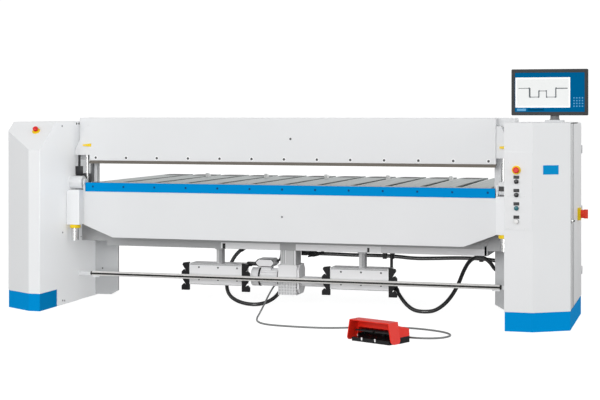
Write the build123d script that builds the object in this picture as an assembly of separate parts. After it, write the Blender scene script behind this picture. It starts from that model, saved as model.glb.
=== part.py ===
from build123d import *
import math
import os

# A sheet-metal folding machine, in millimetres, +Z up.
# Sizes are set from the middle of the working length (x), the bend line (y) and the floor (z).
# At the end every piece is moved so that the origin lies at floor level under the middle of the machine.

# Working line
table_height = 930.0        # table top, and the height of the folding axis
work_half = 1573.0          # half of the working length
end_space = 135.5           # from the end of the working length to a stand's inner face
blade_gap = 146.0           # raised blade above the table
run_gap = 7.0               # gap that moving pieces keep from fixed ones
seat_gap = 0.3              # gap between a moving piece and the seat that carries it
pin_gap = 0.1               # running gap of a pin or rod in its bore
edge_round = 4.0            # outside radius of a folded sheet edge

# Stands and their sheet-metal housings
machine_height = 1400.0
plinth_height = 130.0
plinth_inset = 3.0
sheet = 3.0
stand_thick = 95.0
stand_front = -242.0
housing_rear = 486.0
stand_rear = 856.0
stand_rear_drop = 30.0      # top of the stand's rear foot, below the slats
stand_rear_step = 60.0
stand_rear_rise = 34.0
stand_flat_rear = 100.0

# Left housing
left_front = -530.0
left_face_width = 92.5
left_width = 340.5
left_chamfer_rear = -377.0
slope_front_drop = 210.0    # front edge of the sloping face, below the machine's top
slope_rise = 0.80
slope_lean = 0.05
left_stop_inset = 114.5
left_stop_back = 165.0

# Right cabinet
cab_front = -505.0
cab_face_width = 192.5
cab_width = 426.5
cab_chamfer_rear = -355.0
door_thick = 20.0
door_gap = 6.0
door_bottom = 138.0
hinge_radius = 6.0
hinge_length = 60.0
hinge_stand_off = 4.0
hinge_end_drop = 200.0      # middle of the top hinge below the machine's top
hinge_end_rise = 190.0      # middle of the bottom hinge above the plinth
flange_width = 30.0
plate_gap = 20.0
plate_margin = 60.0
boss_inset = 30.0
boss_radius = 8.0

# Controls on the cabinet
panel_thick = 3.0
panel_margin = 4.0
panel_top_drop = 197.0
panel_height = 522.0
button_inset = 82.5
stop_drop = 121.0           # stop button below the panel's top
push_first_drop = 77.0      # first push button below the stop button
push_pitch = 89.0
push_count = 4
push_ring_radius = 15.0
push_ring_thick = 6.0
push_cap_radius = 11.0
push_cap_thick = 8.0
stop_ring_radius = 28.0
stop_ring_thick = 4.0
stop_neck_radius = 11.0
stop_neck_length = 16.0
stop_head_radius = 20.0
stop_head_length = 16.0
stop_head_chamfer = 5.0
lock_back = 32.0
lock_drop = 665.0
lock_plate_radius = 20.0
lock_plate_thick = 6.0
lock_barrel_radius = 12.0
lock_barrel_length = 8.0
switch_y = 200.0
switch_drop = 652.0
switch_half = 43.0
switch_base_thick = 20.0
switch_disc_radius = 30.0
switch_disc_thick = 22.0
switch_grip_length = 28.0
switch_grip_half = 10.0
switch_grip_reach = 32.0

# Monitor
monitor_inset = 132.0       # neck, in from the cabinet's side
monitor_shift = 31.0        # screen's middle, left of the neck
monitor_neck_y = -100.0
monitor_width = 524.0
monitor_height = 320.0
monitor_lift = 47.0
monitor_thick = 20.0
monitor_front_back = 50.0   # from the neck's middle forward to the screen
monitor_bezel = 24.0
screen_recess = 3.0
monitor_corner = 8.0
monitor_box_width = 300.0
monitor_box_height = 220.0
monitor_box_thick = 28.0
monitor_box_lift = 40.0
monitor_base_width = 124.0
monitor_base_thick = 16.0
monitor_base_corner = 10.0
neck_radius = 30.0
neck_reach = 130.0

# Table
slat_count = 12
slat_gap = 40.0
slat_thick = 40.0
table_inset = 33.0
table_rear = 1630.0
jaw_front = 5.0
jaw_depth = 115.0
jaw_height = 45.0
table_beam_front = 190.0
table_beam_rear = 600.0
table_beam_drop = 170.0     # top of the table beam, below the table top
table_beam_height = 294.0
table_beam_chamfer = 40.0
table_foot_height = 36.0    # lower part of the table beam, between the legs
jaw_support_inset = 15.0
jaw_support_back = 20.0
arm_width = 60.0
arm_height = 90.0
rear_beam_depth = 80.0
rear_beam_height = 110.0

# Legs under the ends of the table beam
leg_front = 440.0
leg_thick = 20.0
leg_width = 198.5
leg_bottom = 12.0
leg_corner_rise = 35.0
leg_corner_run = 65.0
leg_gap = 15.0

# Back gauge
gauge_rest = 1250.0
gauge_inset = 140.0
gauge_depth = 70.0
gauge_beam_height = 50.0
finger_width = 24.0
finger_depth = 60.0
finger_rise = 30.0
finger_slope = 12.0
guide_width = 40.0
guide_place = 1050.0
guide_front_back = 50.0

# Folding beam
rail_height = 68.0
rail_front = -24.0
rail_rear = -2.0
rail_over = 5.0             # rail beyond the working length, at each end
fold_over = 37.0            # folding beam beyond the working length
fold_plate_front = -20.0
fold_height = 350.0
fold_corner_rise = 100.0
fold_corner_run = 260.0
fold_depth = 95.0
fold_neck = 10.0
fold_foot = 20.0
fold_slope = 90.0
lug_gap = 6.0
lug_thick = 14.0
lug_rear = 20.0
lug_radius = 30.0
pivot_radius = 20.0
pivot_reach = 50.0
bearing_radius = 50.0
bearing_bore = 56.0
end_box_inset = 15.0
end_box_gap = 8.5
end_box_front = -100.0
end_box_drop = 54.0
end_box_height = 266.0
end_box_round = 30.0
ring_radius = 40.0
ring_height = 27.0
spindle_radius = 27.5
spindle_length = 93.0

# Clamping beam
cover_front = 40.0
beam_over = 30.0            # cover above the machine's housings
beam_rear = 420.0
beam_rear_rise_share = 0.36
beam_rear_drop_share = 0.30
beam_rear_slope = 120.0
beam_belly = 170.0
beam_end_gap = 8.5
blade_height = 23.0
blade_nose_front = 22.0
blade_nose_rear = 32.0
blade_root_front = 35.3
blade_root_rear = 110.0
bracket_lift = 41.0         # end bracket above the blade's root
bracket_side = 40.0
bracket_top_drop = 60.0
bracket_top_width = 37.0
bracket_front = 50.0
bracket_rear = 130.0
bracket_gap = 11.5
guide_rod_over = 47.0
guide_rod_y = 100.0
guide_rod_radius = 10.0
guide_rod_drop = 290.0
guide_block_half = 17.0
guide_block_front = 70.0
guide_block_drop = 130.0
guide_block_height = 80.0
guide_stop_width = 58.5
guide_stop_height = 110.0
lift_arm_over = 21.0
lift_arm_width = 46.0
lift_arm_depth = 50.0

# Foot bar
bar_y = 130.0
bar_height = 210.0
bar_radius = 13.0
bar_end_gap = 114.5
bar_bracket_reach = 60.0
bar_bracket_back = 12.0
bar_bracket_half = 20.0

# Drives that hang under the table beam. Their heights, and the cords', are for a room of 430 mm under
# the beam, and their places along the machine for its own working length, and both keep in step.
drawn_room = 430.0
drawn_half = 1573.0
post_left = -77.0
post_right = 46.0
post_front = 200.0
post_rear = 335.0
post_groove = 3.0
post_groove_places = (-60.0, -44.0)
gearbox_left = -92.0
gearbox_right = 53.0
gearbox_front = 190.0
gearbox_rear = 380.0
gearbox_top = 318.0
gearbox_bottom = 93.0
gearbox_waist = 206.0
gearbox_flange = 10.0
gearbox_rib = 4.0
gearbox_rib_depth = 6.0
gearbox_rib_pitch = 22.0
shaft_y = 285.0
shaft_height = 190.0
shaft_tube_radius = 38.0
shaft_tube_end = 245.0
shaft_flange_thick = 16.0
shaft_flange_inset = 12.0
shaft_flange_chamfer = 34.0
motor_end = -320.0
motor_height = 215.0
motor_core_radius = 60.0
motor_fin_radius = 68.0
motor_fin_count = 20
motor_fin_thick = 4.0
motor_cowl_length = 62.0
motor_cowl_radius = 70.0
motor_neck_length = 8.0
motor_flange_thick = 12.0
terminal_left = -279.0
terminal_right = -132.0
terminal_front = 215.0
terminal_rear = 345.0
terminal_top = 357.0
terminal_bottom = 298.0
terminal_neck_inset = 34.0
terminal_chamfer = 20.0
unit_front = 200.0
unit_rear = 360.0
unit_bottom = 148.0
unit_top = 310.0
unit_groove = 3.0
unit_groove_inset = 12.0
left_unit_middle = -596.5
left_unit_length = 427.0
right_unit_middle = 535.5
right_unit_length = 449.0
unit_post_front = 240.0
unit_post_rear = 310.0
unit_post_width = 44.0
left_post_offset = 15.5
right_post_offset = 10.5
unit_post_flange = 12.0
unit_post_flange_over = 8.0
cap_width = 62.0
cap_thick = 24.0
cap_front_over = 8.0
cap_bottom = 104.0
cap_top = 320.0
cap_teeth = 2
riser_y = 345.0
riser_radius = 11.0

# Conduits and their holders
conduit_diameter = 29.0
motor_cable_diameter = 18.0
gland_radius = 19.0
outlet_length = 90.0
angled_gland_length = 75.0
gland_drop = 24.0
saddle_width = 26.0
saddle_depth = 48.0
saddle_bore_gap = 2.0
saddle_floor = 5.0
first_saddle = 650.0
first_saddle_y = 560.0
first_saddle_z = 372.5
second_saddle = 1390.0
second_saddle_y = 563.0
second_saddle_z = 370.0
junction_width = 46.0
junction_front = 500.0
junction_rear = 575.0
junction_height = 75.0
floor_clear = 0.5           # under a cord that lies on the floor
cable_drop_x = -78.0
cable_drop_y = 436.0
cable_exit_run = 66.3

# Foot switch
fs_x = 996.0
fs_y = -1139.0
fs_turn = -24.0
fs_base_half = 150.0
fs_base_front = -90.0
fs_base_rear = 104.0
fs_base_thick = 24.0
fs_rim_height = 40.0
fs_rim_thick = 12.0
hood_front = -108.0
hood_step = -8.0
hood_low_half = 180.0
hood_top_half = 156.0
hood_height = 140.0
hood_low = 5.0
hood_wall = 6.0
hood_corner = 30.0
hood_back_half = 166.0
hood_back_top_half = 160.0
hood_back_height = 115.0
hood_rear_height = 88.0
pedal_length = 112.0
pedal_width = 138.0
pedal_spread = 77.0
pedal_thick = 8.0
pedal_barrel_radius = 7.0
pedal_pivot_y = 55.0
pedal_pivot_height = 52.0
pedal_pin_radius = 3.0
pedal_rest_rise = 5.0
pedal_tread_count = 6
pedal_tread = 3.0
ear_thick = 4.0
ear_depth = 20.0
ear_over = 8.0
ear_spread = 5.0
cable_diameter = 13.0
cable_gland_radius = 12.0
cable_gland_length = 20.0


def block(x0, x1, y0, y1, z0, z1):
    """A box between two corners."""
    return Pos((x0 + x1) / 2, (y0 + y1) / 2, (z0 + z1) / 2) * Box(x1 - x0, y1 - y0, z1 - z0)


def slab(points, z0, z1):
    """A plan outline raised from z0 to z1."""
    face = make_face(Polyline(*[(x, y, z0) for x, y in points], close=True))
    return extrude(face, amount=z1 - z0, dir=(0, 0, 1))


def section(points, x0, x1):
    """A side outline, as (y, z) points, drawn out from x0 to x1."""
    face = make_face(Polyline(*[(x0, y, z) for y, z in points], close=True))
    return extrude(face, amount=x1 - x0, dir=(1, 0, 0))


def front_shape(points, y0, y1):
    """A front outline, as (x, z) points, drawn back from y0 to y1."""
    face = make_face(Polyline(*[(x, y0, z) for x, z in points], close=True))
    return extrude(face, amount=y1 - y0, dir=(0, 1, 0))


def rod_x(x0, x1, y, z, radius):
    """A round bar along x."""
    return Pos((x0 + x1) / 2, y, z) * Rot(0, 90, 0) * Cylinder(radius, x1 - x0)


def rod_y(x, y0, y1, z, radius):
    """A round bar along y."""
    return Pos(x, (y0 + y1) / 2, z) * Rot(90, 0, 0) * Cylinder(radius, y1 - y0)


def rod_z(x, y, z0, z1, radius):
    """An upright round bar."""
    return Pos(x, y, (z0 + z1) / 2) * Cylinder(radius, z1 - z0)


def mirrored(shape):
    """The same piece on the other side of the machine."""
    return mirror(shape, about=Plane.YZ)


def both_sides(shape):
    """One node that holds the right piece and its mirror image on the left."""
    return Compound([shape, mirrored(shape)])


def inset_block(plan, inset, z0, z1):
    """A plan outline drawn in by a margin and raised from z0 to z1."""
    face = make_face(Polyline(*[(x, y, z0) for x, y in plan], close=True))
    return extrude(offset(face, amount=-inset, kind=Kind.INTERSECTION), amount=z1 - z0, dir=(0, 0, 1))


nodes = {}

# The stands: two heavy side frames with a tall front column and a lower rear foot.
clear_half = work_half + end_space
slat_low = table_height - slat_thick
stand_in = clear_half + sheet
stand_out = stand_in + stand_thick
stand_top = machine_height - sheet
stand_rear_height = slat_low - stand_rear_drop
stand_outline = [
    (stand_front, 0),
    (stand_flat_rear, 0),
    (stand_rear, stand_rear_rise),
    (stand_rear, stand_rear_height),
    (housing_rear + stand_rear_step, stand_rear_height),
    (housing_rear, stand_rear_height + stand_rear_step),
    (housing_rear, stand_top),
    (stand_front, stand_top),
]
right_stand = section(stand_outline, stand_in, stand_out)
nodes["right_stand"] = right_stand
nodes["left_stand"] = mirrored(right_stand)
inner_panel = block(clear_half, stand_in, stand_front, housing_rear, plinth_inset, stand_top)
nodes["inner_panels"] = both_sides(inner_panel)

# Left housing: a folded cover with a chamfered corner and a sloping control face on top.
slope_front_height = machine_height - slope_front_drop
left_outer = clear_half + left_width
left_plan = [
    (-clear_half, left_front),
    (-clear_half - left_face_width, left_front),
    (-left_outer, left_chamfer_rear),
    (-left_outer, housing_rear),
    (-stand_out, housing_rear),
    (-stand_out, stand_front),
    (-clear_half, stand_front),
]
left_body = slab(left_plan, plinth_height, machine_height)
left_folds = left_body.edges().filter_by(Axis.Z).sort_by(Axis.Y)[:3]
left_housing = fillet(left_folds, radius=edge_round)
left_housing += block(-stand_out, -clear_half, stand_front, housing_rear, stand_top, machine_height)
slope_plane = Plane(
    origin=(-clear_half, left_front, slope_front_height),
    z_dir=(slope_lean, -slope_rise, 1),
)
nodes["left_housing"] = split(left_housing, bisect_by=slope_plane, keep=Keep.BOTTOM)
left_plinth = inset_block(left_plan, plinth_inset, 0, plinth_height)

# Right cabinet: folded sheet panels round an electrical space, closed by a side door.
cab_outer = clear_half + cab_width
cab_plan = [
    (clear_half, cab_front),
    (clear_half + cab_face_width, cab_front),
    (cab_outer, cab_chamfer_rear),
    (cab_outer, housing_rear),
    (stand_out, housing_rear),
    (stand_out, stand_front),
    (clear_half, stand_front),
]
cab_face = make_face(Polyline(*[(x, y, plinth_height) for x, y in cab_plan], close=True))
cab_inner = offset(cab_face, amount=-sheet, kind=Kind.INTERSECTION)
cab_ring = extrude(cab_face - cab_inner, amount=machine_height - plinth_height, dir=(0, 0, 1))
door_in = cab_outer - door_thick
door_front = cab_chamfer_rear + sheet + 2 * door_gap
cab_side_in = door_in - door_gap
roof_low = machine_height - sheet
far = 1.0                   # how far a cutting block reaches past what it cuts
wall_span = block(
    clear_half - far, cab_outer + far, cab_front - far, housing_rear + far, plinth_height, roof_low
)
cab_walls = cab_ring & wall_span
side_cut = block(cab_side_in, cab_outer + far, door_front - door_gap, housing_rear + far, 0, machine_height + far)
cab_walls -= side_cut
front_zone = block(clear_half - far, cab_outer + far, cab_front - far, stand_front + far, plinth_height, roof_low)
flange = block(
    cab_side_in - flange_width, cab_outer - sheet,
    door_front - door_gap - sheet, door_front - door_gap, plinth_height, roof_low,
)
nodes["cabinet_front"] = (cab_walls & front_zone) + flange
rear_zone = block(stand_out + sheet, cab_outer, housing_rear - sheet, housing_rear, plinth_height, roof_low)
nodes["cabinet_rear_wall"] = cab_walls & rear_zone
inner_zone = block(stand_out, stand_out + sheet, stand_front + far, housing_rear, plinth_height, roof_low)
inner_wall = cab_walls & inner_zone
cab_roof = slab(cab_plan, roof_low, machine_height)
cab_roof += block(clear_half, stand_out, stand_front, housing_rear, roof_low, machine_height)
nodes["cabinet_roof"] = cab_roof
cab_plinth = inset_block(cab_plan, plinth_inset, 0, plinth_height)
nodes["plinths"] = Compound([left_plinth, cab_plinth])

# The mounting plate for the electrical gear stands off the inner wall on four bosses.
wall_face = stand_out + sheet
plate_front = stand_front + plate_margin
plate_rear = housing_rear - plate_margin
plate_low = plinth_height + plate_margin
plate_high = roof_low - plate_margin
mounting_plate = block(
    wall_face + plate_gap, wall_face + plate_gap + sheet, plate_front, plate_rear, plate_low, plate_high
)
for boss_y in (plate_front + boss_inset, plate_rear - boss_inset):
    for boss_z in (plate_low + boss_inset, plate_high - boss_inset):
        mounting_plate += rod_x(wall_face, wall_face + plate_gap, boss_y, boss_z, boss_radius)
nodes["cabinet_inner_wall"] = inner_wall + mounting_plate

# Cabinet door: a flat tray that hinges at its rear edge on three barrel hinges.
door_top = machine_height - 3 * sheet
door_rear = housing_rear - door_gap
hinge_x = cab_outer + hinge_stand_off / 2
hinge_y = housing_rear + hinge_stand_off
hinge_leaf = 10.0
door = block(door_in, cab_outer, door_front, door_rear, door_bottom, door_top)
door = fillet(door.edges().filter_by(Axis.Z).sort_by(Axis.X)[-2:], radius=sheet)
door_hinges = []
hinge_top = machine_height - hinge_end_drop
hinge_bottom = plinth_height + hinge_end_rise
for hinge_z in (hinge_bottom, (hinge_bottom + hinge_top) / 2, hinge_top):
    hinge_low = hinge_z - hinge_length / 2
    hinge_high = hinge_z + hinge_length / 2
    split_low = hinge_z - seat_gap / 2
    split_high = hinge_z + seat_gap / 2
    door += rod_z(hinge_x, hinge_y, split_high, hinge_high, hinge_radius)
    door += block(
        cab_outer - hinge_leaf, hinge_x + hinge_stand_off / 2, door_rear - hinge_leaf, hinge_y,
        split_high, hinge_high,
    )
    barrel = rod_z(hinge_x, hinge_y, hinge_low, split_low, hinge_radius)
    strap = block(
        cab_side_in - flange_width, hinge_x, housing_rear, housing_rear + hinge_stand_off, hinge_low, split_low
    )
    door_hinges.append(barrel + strap)
nodes["cabinet_door"] = door
nodes["door_hinges"] = Compound(door_hinges)

# The lock and the mains switch sit on the door.
lock_y = door_front + lock_back
lock_face = cab_outer + lock_plate_thick
lock_height = machine_height - lock_drop
door_lock = rod_x(cab_outer, lock_face, lock_y, lock_height, lock_plate_radius)
door_lock += rod_x(lock_face, lock_face + lock_barrel_length, lock_y, lock_height, lock_barrel_radius)
nodes["door_lock"] = door_lock
switch_face = cab_outer + switch_base_thick
switch_height = machine_height - switch_drop
switch_base = block(
    cab_outer, switch_face, switch_y - switch_half, switch_y + switch_half,
    switch_height - switch_half, switch_height + switch_half,
)
nodes["main_switch_base"] = fillet(switch_base.edges().filter_by(Axis.X), radius=hinge_radius)
disc_face = switch_face + switch_disc_thick
knob = rod_x(switch_face + seat_gap, disc_face, switch_y, switch_height, switch_disc_radius)
grip = block(
    disc_face, disc_face + switch_grip_length, switch_y - switch_grip_half, switch_y + switch_grip_half,
    switch_height - switch_grip_reach, switch_height + switch_grip_reach,
)
nodes["main_switch_knob"] = knob + grip


def stop_button(place):
    """A mushroom stop button on its ring, standing up from a place's own plane."""
    neck_top = stop_ring_thick + stop_neck_length
    ring = Pos(0, 0, stop_ring_thick / 2) * Cylinder(stop_ring_radius, stop_ring_thick)
    neck = Pos(0, 0, stop_ring_thick + stop_neck_length / 2) * Cylinder(stop_neck_radius, stop_neck_length)
    head = Pos(0, 0, neck_top + stop_head_length / 2) * Cylinder(stop_head_radius, stop_head_length)
    head = chamfer(head.edges().group_by(Axis.Z)[-1], length=stop_head_chamfer)
    return place * (ring + neck + head)


# Control panel on the cabinet's front face, with a stop button and four push buttons.
panel_high = machine_height - panel_top_drop
panel_low = panel_high - panel_height
stop_height = panel_high - stop_drop
panel_face = cab_front - panel_thick
nodes["control_panel"] = block(
    clear_half + panel_margin, clear_half + cab_face_width - panel_margin, panel_face, cab_front,
    panel_low, panel_high,
)
button_x = clear_half + button_inset
nodes["panel_stop_button"] = stop_button(Plane(origin=(button_x, panel_face, stop_height), z_dir=(0, -1, 0)))
push_buttons = []
for i in range(push_count):
    push_z = stop_height - push_first_drop - i * push_pitch
    push_face = panel_face - push_ring_thick
    push_ring = rod_y(button_x, push_face, panel_face, push_z, push_ring_radius)
    push_cap = rod_y(button_x, push_face - push_cap_thick, push_face, push_z, push_cap_radius)
    push_buttons.append(push_ring + push_cap)
nodes["push_buttons"] = Compound(push_buttons)

# Stop button on the left housing's sloping face.
left_stop_x = -clear_half - left_stop_inset
left_stop_y = left_front + left_stop_back
left_stop_z = slope_front_height + slope_rise * left_stop_back + slope_lean * left_stop_inset
slope_dir = Vector(slope_lean, -slope_rise, 1)
nodes["left_stop_button"] = stop_button(Plane(origin=(left_stop_x, left_stop_y, left_stop_z), z_dir=slope_dir))

# Touch monitor on a swivelling neck.
monitor_x = cab_outer - monitor_inset
monitor_half = monitor_width / 2
monitor_low = machine_height + monitor_lift
monitor_high = monitor_low + monitor_height
monitor_front = monitor_neck_y - monitor_front_back
monitor_back = monitor_front + monitor_thick
base_half = monitor_base_width / 2
base_top = machine_height + monitor_base_thick
neck_base = block(
    monitor_x - base_half, monitor_x + base_half, monitor_neck_y - base_half, monitor_neck_y + base_half,
    machine_height, base_top,
)
nodes["monitor_base"] = fillet(neck_base.edges().filter_by(Axis.Z), radius=monitor_base_corner)
screen_x = monitor_x - monitor_shift
neck = rod_z(monitor_x, monitor_neck_y, base_top + seat_gap, monitor_low + neck_reach, neck_radius)
monitor = block(
    screen_x - monitor_half, screen_x + monitor_half, monitor_front, monitor_back, monitor_low, monitor_high
)
monitor = fillet(monitor.edges().filter_by(Axis.Y), radius=monitor_corner)
monitor -= block(
    screen_x - monitor_half + monitor_bezel, screen_x + monitor_half - monitor_bezel,
    monitor_front - far, monitor_front + screen_recess,
    monitor_low + monitor_bezel, monitor_high - monitor_bezel,
)
box_low = monitor_low + monitor_box_lift
back_box = block(
    screen_x - monitor_box_width / 2, screen_x + monitor_box_width / 2,
    monitor_back, monitor_back + monitor_box_thick, box_low, box_low + monitor_box_height,
)
nodes["monitor"] = monitor + back_box + neck

# Table: lower jaw, deep beam between the stands, side arms, rear beam and slats.
table_half = work_half - table_inset
jaw_bottom = table_height - jaw_height
jaw_rear = jaw_front + jaw_depth
nodes["table_jaw"] = block(-table_half, table_half, jaw_front, jaw_rear, jaw_bottom, table_height)
table_beam_top = table_height - table_beam_drop
table_beam_bottom = table_beam_top - table_beam_height
table_foot_bottom = table_beam_bottom - table_foot_height
chamfer_low = table_beam_top - table_beam_chamfer
chamfer_rear = table_beam_front + table_beam_chamfer
table_beam_outline = [
    (table_beam_front, table_beam_bottom),
    (table_beam_rear, table_beam_bottom),
    (table_beam_rear, table_beam_top),
    (chamfer_rear, table_beam_top),
    (table_beam_front, chamfer_low),
]
jaw_support_outline = [
    (jaw_front + jaw_support_inset, jaw_bottom),
    (table_beam_front, chamfer_low),
    (chamfer_rear, table_beam_top),
    (table_beam_front + jaw_support_back, jaw_bottom),
]
leg_in = clear_half - leg_width
table_beam = section(table_beam_outline, -clear_half, clear_half)
table_beam += section(jaw_support_outline, -table_half, table_half)
table_beam += block(
    -leg_in + leg_gap, leg_in - leg_gap, table_beam_front, table_beam_rear, table_foot_bottom, table_beam_bottom
)
nodes["table_beam"] = table_beam
slat_width = (2 * table_half - (slat_count - 1) * slat_gap) / slat_count
slats = []
for i in range(slat_count):
    slat_x = -table_half + i * (slat_width + slat_gap)
    slats.append(block(slat_x, slat_x + slat_width, jaw_rear, table_rear, slat_low, table_height))
nodes["table_slats"] = Compound(slats)
rear_beam_front = table_rear - rear_beam_depth
rear_beam = block(-stand_in, stand_in, rear_beam_front, table_rear, slat_low - rear_beam_height, slat_low)
side_arm = block(stand_in - arm_width, stand_in, table_beam_rear, table_rear, slat_low - arm_height, slat_low)
table_rear_frame = rear_beam + side_arm + mirrored(side_arm)

# Legs: upright plates that carry the ends of the table beam beside the stands.
leg_outline = [
    (leg_in, leg_bottom + leg_corner_rise),
    (leg_in + leg_corner_run, leg_bottom),
    (clear_half, leg_bottom),
    (clear_half, table_beam_bottom),
    (leg_in, table_beam_bottom),
]
nodes["legs"] = both_sides(front_shape(leg_outline, leg_front, leg_front + leg_thick))

# Back gauge: a cross beam under the slats with fingers that stand up through the gaps.
gauge_half = table_half - gauge_inset
gauge_top = slat_low - run_gap
gauge_low = gauge_top - gauge_beam_height
finger_top = table_height + finger_rise
gauge_beam = block(
    -gauge_half, gauge_half, gauge_rest - gauge_depth / 2, gauge_rest + gauge_depth / 2, gauge_low, gauge_top
)
finger_front = gauge_rest - finger_depth / 2
finger_rear = gauge_rest + finger_depth / 2
finger_outline = [
    (finger_front, gauge_top),
    (finger_rear, gauge_top),
    (finger_rear, finger_top - finger_slope),
    (finger_front + finger_slope, finger_top),
    (finger_front, finger_top),
]
for i in range(1, slat_count - 1, 2):
    gap_middle = -table_half + (i + 1) * (slat_width + slat_gap) - slat_gap / 2
    gauge_beam += section(finger_outline, gap_middle - finger_width / 2, gap_middle + finger_width / 2)
nodes["gauge_beam"] = gauge_beam
for guide_x in (-guide_place, guide_place):
    table_rear_frame += block(
        guide_x - guide_width / 2, guide_x + guide_width / 2,
        table_beam_front + guide_front_back, rear_beam_front, table_beam_top, gauge_low - seat_gap,
    )
nodes["table_rear_frame"] = table_rear_frame

# Foot bar along the floor side, on two brackets from the stands.
bar_half = clear_half - bar_end_gap
bar_bracket = block(
    bar_half - bar_bracket_reach, clear_half, bar_y, bar_y + bar_radius + bar_bracket_back,
    bar_height - bar_bracket_half, bar_height + bar_bracket_half,
)
foot_bar = rod_x(-bar_half, bar_half, bar_y, bar_height, bar_radius)
nodes["foot_bar"] = foot_bar + bar_bracket + mirrored(bar_bracket)

# Folding beam: a welded box with sloping lower corners and a blue rail along its top.
rail_half = work_half + rail_over
fold_half = work_half + fold_over
rail_bottom = table_height - rail_height
fold_bottom = rail_bottom - fold_height
fold_outline = [
    (fold_plate_front, rail_bottom),
    (fold_plate_front, fold_bottom),
    (fold_foot, fold_bottom),
    (fold_depth, fold_bottom + fold_slope),
    (fold_depth, rail_bottom - fold_slope),
    (fold_neck, rail_bottom),
]
corner_cut = front_shape(
    [
        (fold_half + far, fold_bottom + fold_corner_rise),
        (fold_half - fold_corner_run, fold_bottom - far),
        (fold_half + far, fold_bottom - far),
    ],
    fold_plate_front - far,
    fold_depth + far,
)
folding_beam = section(fold_outline, -fold_half, fold_half) - corner_cut - mirrored(corner_cut)
nodes["folding_rail"] = block(-rail_half, rail_half, rail_front, rail_rear, rail_bottom, table_height)

# Pivots: lugs and pins on the folding beam run in round bearings on the stands.
lug_in = rail_half + lug_gap
lug_out = lug_in + lug_thick
bearing_in = lug_out + lug_gap
lug = block(lug_in, lug_out, fold_plate_front, lug_rear, rail_bottom, table_height)
lug += rod_x(lug_in, lug_out, 0, table_height, lug_radius)
lug += rod_x(lug_out, bearing_in + pivot_reach, 0, table_height, pivot_radius)
nodes["folding_beam"] = folding_beam + lug + mirrored(lug)
bearing = rod_x(bearing_in, clear_half, 0, table_height, bearing_radius)
bearing -= rod_x(bearing_in, bearing_in + bearing_bore, 0, table_height, pivot_radius + pin_gap)
nodes["pivot_bearings"] = both_sides(bearing)

# End boxes of the folding beam, each with a setting ring and a steel spindle below.
end_box_in = fold_half - end_box_inset
end_box_out = clear_half - end_box_gap
end_box_high = table_height - end_box_drop
end_box_low = end_box_high - end_box_height
end_box = block(end_box_in, end_box_out, end_box_front, fold_plate_front, end_box_low, end_box_high)
outer_corner = end_box.edges().filter_by(Axis.Y).group_by(Axis.Z)[-1].sort_by(Axis.X)[-1]
nodes["end_boxes"] = both_sides(fillet(outer_corner, radius=end_box_round))
spindle_x = (end_box_in + end_box_out) / 2
spindle_y = (end_box_front + fold_plate_front) / 2
ring_low = end_box_low - ring_height
spindle = rod_z(spindle_x, spindle_y, ring_low, end_box_low, ring_radius)
spindle += rod_z(spindle_x, spindle_y, ring_low - spindle_length, ring_low, spindle_radius)
nodes["setting_spindles"] = both_sides(spindle)

# Clamping beam: cover, blade, end brackets, guide rods and lift arms.
blade_low = table_height + blade_gap
blade_top = blade_low + blade_height
beam_top = machine_height + beam_over
beam_height = beam_top - blade_top
beam_rear_drop = beam_rear_drop_share * beam_height
beam_rear_rise = beam_rear_rise_share * beam_height
beam_outline = [
    (cover_front, blade_top),
    (cover_front, beam_top),
    (beam_rear - beam_rear_slope, beam_top),
    (beam_rear, beam_top - beam_rear_drop),
    (beam_rear, blade_top + beam_rear_rise),
    (beam_belly, blade_top),
]
beam_half = clear_half - beam_end_gap
beam_body = section(beam_outline, -beam_half, beam_half)
top_fold = beam_body.edges().filter_by(Axis.X).sort_by(Axis.Y)[:2].sort_by(Axis.Z)[-1]
beam_body = fillet(top_fold, radius=2 * edge_round)
end_front_cut = block(
    work_half, beam_half + far, cover_front - far, bracket_rear, blade_top - far, beam_top + far
)
blade_outline = [
    (blade_nose_front, blade_low),
    (blade_nose_rear, blade_low),
    (blade_root_rear, blade_top),
    (blade_root_front, blade_top),
]
nodes["clamping_blade"] = section(blade_outline, -work_half, work_half)
bracket_low = blade_top + bracket_lift
bracket_high = beam_top - bracket_top_drop
bracket_outer = clear_half - bracket_gap
bracket_outline = [
    (work_half, bracket_low),
    (bracket_outer, bracket_low),
    (bracket_outer, bracket_low + bracket_side),
    (work_half + bracket_top_width, bracket_high),
    (work_half, bracket_high),
]
nodes["end_brackets"] = both_sides(front_shape(bracket_outline, bracket_front, bracket_rear))
rod_low = table_height - guide_rod_drop
guide_rod_x = work_half + guide_rod_over
nodes["guide_rods"] = both_sides(rod_z(guide_rod_x, guide_rod_y, rod_low, bracket_low, guide_rod_radius))
guide_low = table_height - guide_block_drop
guide_high = guide_low + guide_block_height
guide_block = block(
    guide_rod_x - guide_block_half, clear_half, guide_block_front, bracket_rear, guide_low, guide_high
)
guide_block += block(
    clear_half - guide_stop_width, clear_half, guide_block_front + guide_rod_radius, bracket_rear,
    guide_high, guide_high + guide_stop_height,
)
guide_block -= rod_z(guide_rod_x, guide_rod_y, guide_low - far, guide_high + far, guide_rod_radius + pin_gap)
nodes["guide_blocks"] = both_sides(guide_block)
lift_arm_in = work_half - lift_arm_over
lift_arm = block(
    lift_arm_in, lift_arm_in + lift_arm_width, bracket_rear, bracket_rear + lift_arm_depth, rod_low, blade_top
)
clamping_beam = beam_body - end_front_cut - mirrored(end_front_cut)
nodes["clamping_beam"] = clamping_beam + lift_arm + mirrored(lift_arm)

def raised(height):
    """A height under the table beam, in step with the room there."""
    return height * table_foot_bottom / drawn_room


def along(place):
    """A place along the machine, in step with the working length."""
    return place * work_half / drawn_half


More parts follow.
